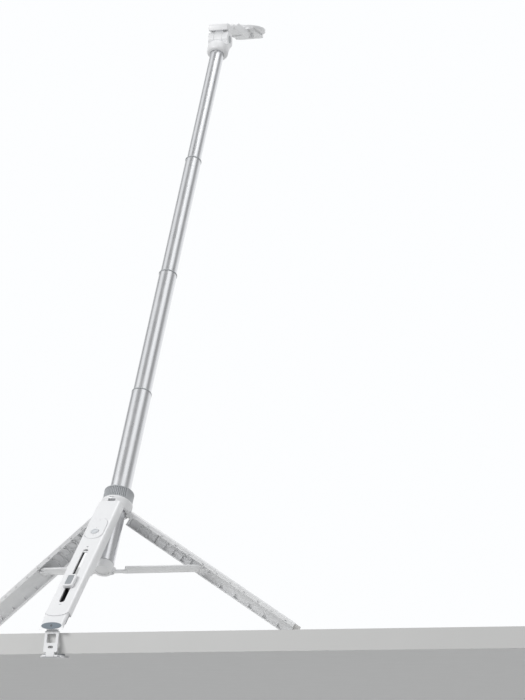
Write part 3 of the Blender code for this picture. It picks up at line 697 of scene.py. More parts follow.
@dataclass(frozen=True)
class Hub:
    """Flared collar that the three legs hang from."""

    bore: float = 13.0
    foot_radius: float = 17.7
    top_radius: float = 19.4
    top: float = 13.1
    notch_half: float = 4.9
    notch_top: float = 8.3
    slit_half: float = 3.2
    slit_height: float = 10.0

    def build(self) -> None:
        """Make the collar and dress its pins."""
        profile = [(self.bore, 0.3), (self.bore, self.top - 0.4), (self.bore + 0.4, self.top)]
        profile += arc((self.top_radius - 1.0, self.top - 1.0), 1.0, 90.0, 0.0, 6)
        profile += [(self.top_radius, self.top - 3.4), (self.top_radius - 0.35, self.top - 4.6),
                    (self.foot_radius, 0.5), (self.foot_radius - 0.5, 0.0), (self.bore + 0.4, 0.0)]
        collar = Solid.turned(profile, 120)
        tools = []
        for azimuth in (0.0, Side.RIGHT.value, Side.LEFT.value):
            notch = Solid.prism(
                [(-self.notch_half, -2.0), (self.notch_half, -2.0)]
                + arc((self.notch_half - 1.2, self.notch_top - 1.2), 1.2, 0.0, 90.0, 6)
                + arc((-self.notch_half + 1.2, self.notch_top - 1.2), 1.2, 90.0, 180.0, 6),
                -24.0, -12.0, Along.Y)
            slit = Solid.prism(rounded_box(self.slit_half, 0.45, 0.4, 4), -24.0,
                               -self.foot_radius - 0.2, Along.Y).moved((0, 0, self.slit_height))
            tools += [notch.moved(about_z=azimuth), slit.moved(about_z=azimuth)]
            tools.append(Solid.rod(1.2, 7.3, (-PIVOT_RADIUS, PIVOT_HEIGHT)).moved(about_z=azimuth))
        show("hub_collar_finished", collar.cut(*tools), LAYOUT.pole(), WHITE, "root",
             ("hub_collar",), edge=0.2)
        dress(("leg_pin_front", "leg_pin_left", "leg_pin_right"), STEEL)
        dress(("collet",), RING_GREY)


@dataclass(frozen=True)
class LockRing:
    """Grey turning ring above the hub, ribbed front and back."""

    low: float = 13.4
    high: float = 28.4
    radius: float = 18.45
    bore: float = 16.0
    mouth: float = 13.2
    grip: float = 51.0
    rib_pitch: float = 7.5
    rib_depth: float = 1.1

    def _outline(self) -> list[Point]:
        """Ribbed outline of the grip.

        Returns:
            Its points round the axis.
        """
        points: list[Point] = []
        step = self.rib_pitch / 8.0
        count = round(360.0 / step)
        for index in range(count):
            angle = index * step
            from_grip = min(angle % 180.0, 180.0 - angle % 180.0)
            radius = self.radius - 0.12
            if from_grip < self.grip:
                phase = 0.5 - 0.5 * math.cos(math.tau * angle / self.rib_pitch)
                radius -= self.rib_depth * phase ** 1.6
            elif index % 4:
                continue
            turn = math.radians(angle + 90.0)
            points.append((radius * math.cos(turn), radius * math.sin(turn)))
        return points

    def build(self) -> None:
        """Make the ring."""
        ring = Solid.prism(self._outline(), self.low + 0.9, self.high - 1.5)
        for low, high in ((self.low, self.low + 1.1), (self.high - 1.7, self.high)):
            lip = arc((self.radius - 0.5, high - 0.5), 0.5, 90.0, 0.0, 4)
            lip += arc((self.radius - 0.5, low + 0.5), 0.5, 0.0, -90.0, 4)
            ring.join(Solid.turned([(0.0, low), (0.0, high), *lip], 144))
        ring.cut(Solid.turned([(0.0, self.low - 1.0), (0.0, self.high - 1.2),
                               (self.bore, self.high - 1.2), (self.bore, self.low - 1.0)]),
                 Solid.turned([(0.0, self.high - 3.0), (0.0, self.high + 1.0),
                               (self.mouth + 1.6, self.high + 1.0), (self.mouth, self.high - 0.8),
                               (self.mouth, self.high - 3.0)]))
        show("lock_ring_finished", ring, LAYOUT.pole(), RING_GREY, "lock_ring", ("lock_ring",),
             edge=0.0, angle=40.0)


@dataclass(frozen=True)
class Pole:
    """Four bright tubes with a rim on each mouth."""

    radii: tuple[float, ...] = (12.6, 11.4, 10.3, 9.2)
    mouths: tuple[float, ...] = (180.0, 370.0, 563.0, 754.0)
    wall: float = 0.9
    lap: float = 30.0
    rim_height: float = 1.6
    rim_lip: float = 0.5
    first_low: float = -73.7
    head_reach: float = 9.0

    def build(self) -> None:
        """Make the tubes and the rims."""
        last = len(self.radii) - 1
        for index, outer in enumerate(self.radii):
            low = self.mouths[index - 1] - self.lap if index else self.first_low
            top = self.mouths[index] - self.rim_height - 0.3
            if index == last:
                top = self.mouths[index] + self.head_reach
            inner = outer - self.wall
            tube = Solid.turned([(inner, low + 0.2), (inner, top - 0.2), (inner + 0.2, top),
                                 (outer - 0.2, top), (outer, top - 0.2), (outer, low + 0.2),
                                 (outer - 0.2, low), (inner + 0.2, low)], 128)
            name = f"tube_{index + 1}"
            show(f"{name}_finished", tube, LAYOUT.pole(), TUBE, f"pole_{index + 1}", (name,),
                 edge=0.0, angle=25.0)
            if index < last:
                self._rim(index, inner, outer + (self.rim_lip if index else 0.2))

    def _rim(self, index: int, inner: float, outer: float) -> None:
        """Make the rim on one tube's mouth.

        Args:
            index: the tube's number, from 0.
            inner: the rim's bore.
            outer: its radius.
        """
        high = self.mouths[index]
        low = high - self.rim_height
        profile = [(inner, low), (inner, high - 0.25), (inner + 0.25, high)]
        profile += arc((outer - 0.45, high - 0.45), 0.45, 90.0, 0.0, 5)
        profile += arc((outer - 0.3, low + 0.3), 0.3, 0.0, -90.0, 4)
        name = f"tube_{index + 1}_rim"
        show(f"{name}_finished", Solid.turned(profile, 128), LAYOUT.pole(), RING_GREY,
             f"pole_{index + 1}", (name,), edge=0.0)


@dataclass(frozen=True)
class Spreader:
    """Lugged hub at the pole's foot, which the two struts push against."""

    pin_radius: float = 14.6
    pin_height: float = -80.6
    body_radius: float = 12.4
    drop: float = 4.4
    rise: float = 6.6
    ear_in: float = 3.3
    ear_out: float = 5.3
    ear_reach: float = 15.2

    def build(self) -> None:
        """Make the hub with its lugs."""
        low, high = self.pin_height - self.drop, self.pin_height + self.rise
        profile = [(0.0, low + 1.4), (0.0, high), (self.body_radius - 0.3, high),
                   (self.body_radius, high - 0.3), (self.body_radius, low + 1.6)]
        profile += arc((self.body_radius - 1.6, low + 1.6), 1.6, 0.0, -90.0, 6)
        profile += [(8.6, low), (8.0, low + 1.4)]
        hub = Solid.turned(profile, 96)
        for azimuth in (Side.RIGHT.value, Side.LEFT.value):
            ear = Solid.prism([(-6.0, self.pin_height + 2.6), (-6.0, self.pin_height - 2.6)]
                              + arc((-self.ear_reach + 2.6, self.pin_height), 2.6, 270.0, 90.0, 12),
                              -self.ear_out, self.ear_out, Along.X)
            slot = Solid.box((-self.ear_in, -18.0, self.pin_height - 8.0),
                             (self.ear_in, -11.2, self.pin_height + 6.0))
            hub.join(ear.moved(about_z=azimuth)).cut(slot.moved(about_z=azimuth))
        show("spreader_hub_finished", hub, LAYOUT.pole(), WHITE, "pole_1", ("spreader_hub",),
             edge=0.3, segments=3)


# ---- legs ------------------------------------------------------------------------------------
def leg_y(distance: float) -> float:
    """Distance from the pole's axis in the folded state, as the leg frame's Y."""
    return PIVOT_RADIUS - distance


def leg_z(drop: float) -> float:
    """Drop below the pivots' plane in the folded state, as the leg frame's Z."""
    return -PIVOT_HEIGHT - drop


def on_face(outline: Sequence[Point], near: float, far: float) -> Solid:
    """Extrude an (x, drop) outline between two distances from the pole's axis.

    Args:
        outline: the outline, its second value being the drop down the leg.
        near: one distance.
        far: the other.

    Returns:
        The solid, in the leg's frame.
    """
    flat = [(x, leg_z(drop)) for x, drop in outline]
    return Solid.prism(flat, leg_y(far), leg_y(near), Along.Y)


def leg_block(half: float, near: float, far: float, low: float, high: float) -> Solid:
    """Block across a leg, between two distances from the axis and two drops."""
    return Solid.box((-half, leg_y(far), leg_z(high)), (half, leg_y(near), leg_z(low)))


def leg_knuckle(radius: float, half: float, top: float) -> Solid:
    """Round knuckle of a leg's hinge, joined down into the leg."""
    outline = arc((0.0, 0.0), radius, 0.0, 180.0, 20)
    outline += [(-radius, leg_z(top + 1.4)), (radius, leg_z(top + 1.4))]
    return Solid.prism(outline, -half, half, Along.X)


@dataclass(frozen=True)
class RearLeg:
    """Curved rear leg: a smooth outer skin, arched ribs inside and a rubber foot."""

    strut_pin_y = 0.8

    skin: float = 18.3
    edge_radius: float = 13.2
    wall: float = 1.8
    half_angle: float = 57.0
    top: float = 1.2
    end: float = 240.0
    strut_at: float = 115.7
    strut_distance: float = 14.6
    strut_knuckle: float = 1.7
    rib_pitch: float = 12.5
    lower_pitch: float = 21.0
    foot_length: float = 7.5

    def _polar(self, radius: float, angle: float) -> Point:
        """A point at this distance from the pole's axis and angle from the leg's middle."""
        turn = math.radians(angle)
        return radius * math.sin(turn), PIVOT_RADIUS - radius * math.cos(turn)

    def _sector(self, inner: float, half_in: float, outer: float, half_out: float, low: float,
                high: float, steps: int = 40) -> Solid:
        """Sector of a ring run down the leg, from one drop to another."""
        outline = [self._polar(outer, -half_out + 2.0 * half_out * k / steps)
                   for k in range(steps + 1)]
        outline += [self._polar(inner, half_in - 2.0 * half_in * k / steps)
                    for k in range(steps + 1)]
        return Solid.prism(outline, leg_z(high), leg_z(low))

    def _arched_rib(self, drop: float, rise: float) -> Solid:
        """Cross rib whose inner edge is arched.

        Args:
            drop: where it is on the leg.
            rise: how far the arch rises from the pole.

        Returns:
            The rib.
        """
        inner, steps = self.edge_radius + 0.4, 24
        outline = [self._polar(self.skin - self.wall + 0.4, -51.0 + 102.0 * k / steps)
                   for k in range(steps + 1)]
        for k in range(steps + 1):
            angle = 50.0 - 100.0 * k / steps
            lift = math.cos(math.radians(min(90.0, abs(angle) * 2.2)))
            outline.append(self._polar(inner + rise * lift, angle))
        return Solid.prism(outline, leg_z(drop + 1.1), leg_z(drop))

    def _oval(self, drop: float) -> Solid:
        """Oval wall in the bay between two ribs.

        Args:
            drop: the middle of the bay.

        Returns:
            The wall.
        """
        half_x, half_z = 7.6, self.rib_pitch / 2.0 - 0.9
        rings = []
        for inset in (0.0, 0.9):
            rings.append([(x * (half_x - inset), drop + z * (half_z - inset))
                          for x, z in arc((0.0, 0.0), 1.0, 0.0, 352.5, 47)])
        near = self.edge_radius + 1.3
        wall = on_face(rings[0], near, self.skin - self.wall + 0.3)
        return wall.cut(on_face(rings[1], near - 1.0, self.skin))

    def _side_gussets(self, drop: float) -> list[Solid]:
        """Pair of small webs beside the strut's place."""
        webs = []
        for side in (-1.0, 1.0):
            outline = [self._polar(self.skin - self.wall + 0.4, side * angle)
                       for angle in (31.0, 37.0, 44.0, 50.8)]
            outline += [self._polar(self.edge_radius + 0.4, side * angle) for angle in (50.0, 42.0)]
            webs.append(Solid.prism(outline, leg_z(drop + 1.1), leg_z(drop)))
        return webs

    def build(self, side: Side) -> None:
        """Make one leg with its foot.

        Args:
            side: which leg.
        """
        label = side.name.lower()
        inner = self.skin - self.wall
        leg = self._sector(self.edge_radius, self.half_angle, self.skin, self.half_angle, self.top,
                           self.end)
        leg.softened(1.1, (-99, -99, leg_z(self.end) - 1), (99, 99, leg_z(self.top) + 1), 4)
        leg.cut(self._sector(self.edge_radius - 2.0, 50.0, inner, 51.5, self.top + 3.0,
                             self.end - 2.0))
        notches = [Solid.box((-20.0, leg_y(9.0), leg_z(30.0 + 20.0 * k)),
                             (20.0, leg_y(7.95), leg_z(27.0 + 20.0 * k))) for k in range(11)]
        leg.cut(*notches)
        leg.join(leg_knuckle(2.4, 4.6, self.top))
        drop = self.top + 3.0 + self.rib_pitch
        while drop < self.strut_at - 14.0:
            leg.join(self._arched_rib(drop, 2.1))
            if drop + self.rib_pitch < self.strut_at - 14.0:
                leg.join(self._oval(drop + 0.55 + self.rib_pitch / 2.0))
            drop += self.rib_pitch
        drop = self.strut_at + self.lower_pitch
        while drop < self.end - 12.0:
            leg.join(*self._side_gussets(drop))
            drop += self.lower_pitch
        leg.join(*[self._ear(sign, inner) for sign in (-1.0, 1.0)])
        pin = (leg_y(self.strut_distance), leg_z(self.strut_at))
        leg.cut(Solid.rod(1.2, 5.9), Solid.rod(self.strut_knuckle + 0.3, 4.85, pin),
                Solid.rod(1.0, 7.5, pin))
        show(f"rear_leg_{label}_finished", leg, LAYOUT.rear_leg(side), WHITE, f"rear_leg_{label}",
             (f"rear_leg_{label}",), edge=0.25, angle=35.0)
        self._foot(side, label)
        dress((f"strut_pin_{label}",), STEEL)

    def _ear(self, sign: float, inner: float) -> Solid:
        """One of the two lugs that hold the strut's pin."""
        low, high = sorted((sign * 4.9, sign * 6.7))
        tip = self.strut_distance - self.strut_knuckle
        return Solid.prism([(leg_y(inner + 0.5), leg_z(self.strut_at + 4.0)),
                            (leg_y(tip), leg_z(self.strut_at + 1.0)),
                            (leg_y(tip), leg_z(self.strut_at - 1.0)),
                            (leg_y(inner + 0.5), leg_z(self.strut_at - 4.0))], low, high, Along.X)

    def _foot(self, side: Side, label: str) -> None:
        """Rubber shoe with two grooves round it."""
        low, high = self.end + 0.3, self.end + self.foot_length
        foot = self._sector(self.edge_radius + 0.8, 46.0, self.skin - 0.5, 54.0, low, high, 30)
        foot.softened(1.6, (-99, -99, leg_z(high) - 0.1), (99, 99, leg_z(high) + 0.1), 5)
        for drop in (low + 2.0, low + 3.8):
            outer = self._sector(self.skin - 0.9, 60.0, self.skin + 2.0, 60.0, drop, drop + 0.7, 30)
            foot.cut(outer)
        show(f"rear_foot_{label}_finished", foot, LAYOUT.rear_leg(side), PALE_RUBBER,
             f"rear_leg_{label}", (f"rear_foot_{label}",), edge=0.3, segments=3)


@dataclass(frozen=True)
class Strut:
    """Flat bar between a rear leg and the spreader, narrowed at its foot."""

    half: float = 4.4
    thickness: float = 2.2
    strip_near: float = 13.2
    strip_far: float = 15.6
    strip_half_angle: float = 32.5
    strip_from: float = 7.0
    knuckle: float = 1.7
    neck_half: float = 2.4
    neck_knuckle: float = 1.5
    neck_length: float = 12.0
    hole: float = 1.0

    def _strip(self, inset: float) -> list[Point]:
        """Section of the curved strip that lies round the pole when folded.

        Args:
            inset: how far in from its two edges it stops, in millimetres.

        Returns:
            The outline's points.
        """
        points = []
        half = self.strip_half_angle - math.degrees(inset / self.strip_far)
        for radius, first in ((self.strip_far, -half), (self.strip_near, half)):
            for step in range(25):
                angle = math.radians(first * (1.0 - step / 12.0))
                points.append((radius * math.sin(angle),
                               Spreader.pin_radius - radius * math.cos(angle)))
        return points

    def build(self, side: Side) -> None:
        """Make one strut.

        Args:
            side: which leg it belongs to.
        """
        label = side.name.lower()
        matrix = LAYOUT.strut(side)
        turn = Matrix.Rotation(math.radians(side.value), 4, "Z")
        foot = LAYOUT.pole() @ turn @ Vector((0.0, -Spreader.pin_radius, Spreader.pin_height))
        length = (LAYOUT.place(f"strut_{label}_fold") - foot).length / MM
        half = self.thickness / 2.0
        low, high = -length + self.neck_length, -self.strip_from
        bar = Solid.prism(self._strip(0.0), low, high)
        bar.softened(0.6, (-99, -99, low - 1.0), (99, 99, high + 1.0), 3)
        recess = Solid.prism(self._strip(1.0), low + 3.0, high - 3.0)
        floor = Solid.prism(self._strip(-1.0), low + 1.0, high - 1.0)
        bar.cut(recess.moved((0.0, -1.6, 0.0)).cut(floor.moved((0.0, 0.45, 0.0))))
        eye = arc((0.0, 0.0), self.knuckle, 0.0, 180.0, 20)
        eye += [(-half, -2.0), (-half, high - 4.0), (half, high - 4.0), (half, -2.0)]
        foot_eye = [(half, low + 4.0), (-half, low + 4.0)]
        foot_eye += arc((0.0, -length), self.neck_knuckle, 160.0, 380.0, 20)
        bar.join(Solid.prism(eye, -self.half, self.half, Along.X),
                 Solid.prism(foot_eye, -self.neck_half, self.neck_half, Along.X))
        bar.cut(Solid.rod(self.hole, 6.0), Solid.rod(self.hole, 6.0, (0.0, -length)))
        show(f"strut_{label}_finished", bar, matrix, WHITE, f"strut_{label}", (f"strut_{label}",),
             edge=0.15)


@dataclass(frozen=True)
class FrontLeg:
    """Broad front leg that carries the remote, the slot and the clamp."""

    half: float = 15.2
    face: float = 22.0
    shoulder: float = 21.6
    corner: float = 4.6
    edge: float = 9.6
    edge_low: float = 13.0
    wall: float = 1.8
    top: float = 1.2
    end: float = 236.0
    step_from: float = 135.0
    step_to: float = 142.0
    toe: float = 219.0
    toe_drop: float = 8.0
    toe_half: float = 13.4
    foot_end: float = 246.3
    sole_front: float = 238.3
    sole_back: float = 16.9
    slot_half: float = 3.3
    slot_from: float = 99.0
    slot_to: float = 202.0
    pocket_floor: float = 15.0
    collar_bore: float = 13.2

    def _section(self, inset: float, edge: float) -> list[Point]:
        """Outline of the leg's section in the leg frame's X and Y.

        Args:
            inset: how far inside the outer skin it runs.
            edge: distance of the open side from the pole's axis.

        Returns:
            The outline's points.
        """
        half, corner = self.half - inset, max(self.corner - inset, 1.0)
        shoulder = self.shoulder - inset
        right = [(half, edge)] + arc((half - corner, shoulder - corner), corner, 0.0, 90.0, 10)
        reach = half - corner
        crown = [(reach - 2.0 * reach * k / 16.0,
                  shoulder + (self.face - self.shoulder) * (1.0 - (1.0 - k / 8.0) ** 2))
                 for k in range(1, 16)]
        left = [(-x, n) for x, n in reversed(right)]
        return [(x, leg_y(n)) for x, n in right + crown + left]

    def _toe_line(self, inset: float) -> list[Point]:
        """(x, drop) outline of all that is below the shell's U-shaped end."""
        half = self.toe_half - inset
        curve = []
        for k in range(25):
            x = -half + 2.0 * half * k / 24.0
            curve.append((x, self.toe + self.toe_drop * math.sqrt(1.0 - (x / half) ** 2)))
        return [(-30.0, self.toe), *curve, (30.0, self.toe), (30.0, 260.0), (-30.0, 260.0)]

    def build(self) -> None:
        """Make the shell, its marks, its shoe and its foot."""
        shell = Solid.prism(self._section(0.0, self.edge), leg_z(self.end), leg_z(self.top))
        step = [(leg_y(self.edge - 4.0), leg_z(self.step_from - 8.0)),
                (leg_y(self.edge), leg_z(self.step_from)),
                (leg_y(self.edge_low), leg_z(self.step_to)),
                (leg_y(self.edge_low), leg_z(self.end + 5.0)),
                (leg_y(self.edge - 4.0), leg_z(self.end + 5.0))]
        shell.cut(Solid.prism(step, -30.0, 30.0, Along.X),
                  on_face(self._toe_line(0.0), 0.0, 40.0),
                  Solid.prism(self._section(self.wall, 0.0), leg_z(self.end + 6.0),
                              leg_z(self.top + 3.0)))
        bore = [(0.0, leg_z(self.top + 4.0)), (0.0, leg_z(self.top - 1.0)),
                (self.collar_bore, leg_z(self.top - 1.0)), (self.collar_bore, leg_z(self.top + 4.0))]
        shell.cut(Solid.turned(bore).moved((0.0, PIVOT_RADIUS, 0.0)))
        inside = self.half - self.wall
        shell.join(leg_block(inside + 0.3, self.pocket_floor - 1.6, self.face - 1.6,
                             Remote.top_end - 2.5, Remote.low_end + 2.5),
                   leg_knuckle(2.4, 4.6, self.top))
        pocket = stadium(Remote.radius + 0.3, Remote.top_end - 0.15, Remote.low_end + 0.15, 32)
        slot = stadium(self.slot_half, self.slot_from, self.slot_to)
        shell.cut(on_face(pocket, self.pocket_floor, 26.0), on_face(slot, 18.0, 26.0),
                  Solid.rod(1.2, 5.9), self._scoop())
        bridge = on_face([(-4.0, 101.8), (4.0, 101.8), (4.0, 103.9), (-4.0, 103.9)], 20.4, 21.3)
        shell.join(bridge)
        show("front_leg_finished", shell, LAYOUT.front_leg(), WHITE, "front_leg", ("front_leg",),
             edge=0.3, segments=3, angle=35.0)
        self._marks()
        self._shoe()

    def _scoop(self) -> Solid:
        """Fingernail dish above the remote."""
        dish = Solid.turned([(0.0, -1.0), (5.0, 0.0), (5.0, 2.0), (0.0, 2.0)], 48)
        dish.moved(about_x=90.0)
        return dish.moved((0.0, leg_y(self.face), leg_z(36.6)))

    def _marks(self) -> None:
        """Plus and minus signs at the slot's two ends."""
        arm, thick = 1.6, 0.32
        plus = [(arm, thick), (thick, thick), (thick, arm), (-thick, arm), (-thick, thick),
                (-arm, thick), (-arm, -thick), (-thick, -thick), (-thick, -arm), (thick, -arm),
                (thick, -thick), (arm, -thick)]
        minus = [(arm, thick), (-arm, thick), (-arm, -thick), (arm, -thick)]
        for name, outline, drop in (("plus_mark", plus, 94.5), ("minus_mark", minus, 206.2)):
            mark = on_face([(x, drop + z) for x, z in outline], self.face - 0.3, self.face + 0.02)
            show(name, mark, LAYOUT.front_leg(), MARK_GREY, "front_leg", edge=0.0)

    def _shoe(self) -> None:
        """White shoe under the shell's end, rubber sole and its screw."""
        section = self._section(0.8, 15.4)
        shoe = Solid.prism(section, leg_z(self.foot_end), leg_z(self.toe - 5.0))
        near, far = self.face - 0.8, self.sole_back
        slope = (self.foot_end - self.sole_front) / (near - far)
        slant = [(leg_y(near + 4.0), leg_z(self.sole_front - 4.0 * slope)),
                 (leg_y(far - 8.0), leg_z(self.foot_end + 8.0 * slope)),
                 (leg_y(near + 4.0), leg_z(self.foot_end + 8.0 * slope))]
        room = leg_block(self.half - 2.3, 0.0, far, self.toe - 9.0, self.foot_end + 9.0)
        under = Solid.prism([(leg_y(13.0), leg_z(self.end - 2.0)), (leg_y(16.6), leg_z(self.end + 1.0)),
                             (leg_y(16.6), leg_z(self.end + 14.0)), (leg_y(9.0), leg_z(self.end + 14.0)),
                             (leg_y(9.0), leg_z(self.end - 2.0))], -30.0, 30.0, Along.X)
        half = self.half - 0.8
        round_end = [(-half, self.toe - 9.0)]
        for k in range(33):
            x = -half * math.cos(math.pi * k / 32.0)
            round_end.append((x, self.foot_end - 10.0
                              + 10.0 * (1.0 - abs(x / half) ** 2.6) ** (1.0 / 2.6)))
        round_end.append((half, self.toe - 9.0))
        shoe.cut(room, under, Solid.prism(slant, -30.0, 30.0, Along.X))
        shoe.keep(on_face(round_end, 0.0, 40.0))
        show("front_shoe", shoe, LAYOUT.front_leg(), WHITE, "front_leg", edge=0.5, segments=3)
        tilt = 90.0 + math.degrees(math.atan2(near - far, self.foot_end - self.sole_front))
        middle = (0.0, leg_y((near + far) / 2.0), leg_z((self.sole_front + self.foot_end) / 2.0))
        reach = math.hypot(near - far, self.foot_end - self.sole_front) / 2.0 - 0.3
        oval = [(12.4 * math.cos(math.tau * k / 64.0), reach * math.sin(math.tau * k / 64.0))
                for k in range(64)]
        sole = Solid.prism(oval, -1.8, 0.45).moved(about_x=tilt).moved(middle)
        sole.keep(leg_block(self.half, far - 0.1, self.face, self.end - 9.0, self.foot_end + 9.0))
        show("front_foot_finished", sole, LAYOUT.front_leg(),
             RUBBER, "front_leg", ("front_foot",), edge=0.35, segments=3)
        screw = Solid.turned([(0.0, -0.2), (0.0, 0.55), (1.2, 0.55), (1.4, 0.38), (1.4, -0.2)], 32)
        screw.cut(Solid.box((-0.9, -0.2, 0.2), (0.9, 0.2, 0.9)),
                  Solid.box((-0.2, -0.9, 0.2), (0.2, 0.9, 0.9)))
        screw.moved(about_x=tilt).moved(middle)
        show("foot_screw", screw, LAYOUT.front_leg(), DARK, "front_leg", edge=0.05)


@dataclass(frozen=True)
class Remote:
    """Clip-in remote with its round button."""

    top_end = 37.0
    low_end = 78.7
    radius = 11.35

    split: float = 18.6
    face: float = 22.5
    button_radius: float = 4.8
    button_at: float = 63.85
    wall: float = 1.4

    def build(self) -> None:
        """Make the top shell and the button, and dress what is inside."""
        outline = stadium(self.radius, self.top_end + 0.15, self.low_end - 0.15, 40)
        top = on_face(outline, self.split, self.face)
        face_y = leg_y(self.face)
        top.softened(1.1, (-99, face_y - 0.1, -999), (99, face_y + 0.1, 0), 5)
        hollow = stadium(self.radius - self.wall, self.top_end + 1.5, self.low_end - 1.5, 30)
        well = stadium(self.button_radius + 0.3, self.button_at - self.button_radius - 0.3,
                       self.button_at + self.button_radius + 0.3, 30)
        top.cut(on_face(hollow, self.split - 1.0, self.face - self.wall),
                on_face(well, self.split, self.face + 1.0))
        for drop in (self.button_at - 7.6, self.button_at + 7.6, self.top_end + 4.2):
            top.cut(on_face(stadium(0.45, drop - 0.45, drop + 0.45, 10), self.face - 0.8,
                            self.face + 1.0))
        show("remote_top_finished", top, LAYOUT.front_leg(), WHITE, "remote", ("remote_top",),
             edge=0.2)
        # Dark pieces at the bottom of the three small holes: painted shade inside the holes.
        for index, drop in enumerate((self.button_at - 7.6, self.button_at + 7.6,
                                      self.top_end + 4.2), start=1):
            hole_shade = on_face(stadium(0.42, drop - 0.42, drop + 0.42, 10), self.face - 0.7,
                          self.face - 0.25)
            show(f"remote_dot_{index}", hole_shade, LAYOUT.front_leg(), DARK, "remote", edge=0.0)
        self._button()
        refined("remote_base", WHITE, "remote")
        dress(("remote_cell",), STEEL)
        dress(("remote_board",), DARK)

    def _button(self) -> None:
        """Dished button with a ring round its middle."""
        low, high = self.split + 1.6 - self.face, 0.5
        profile = [(0.0, low), (0.0, high - 0.35), (1.6, high - 0.3), (2.5, high - 0.1),
                   (2.6, high - 0.45), (2.95, high - 0.45), (3.05, high)]
        profile += arc((self.button_radius - 0.5, high - 0.5), 0.5, 90.0, 0.0, 5)
        profile += [(self.button_radius, low)]
        button = Solid.turned(profile, 96).moved(about_x=90.0)
        button.moved((0.0, leg_y(self.face), leg_z(self.button_at)))
        show("remote_button_finished", button, LAYOUT.front_leg(), BUTTON_GREY, "remote_button",
             ("remote_button",), edge=0.0, angle=50.0)


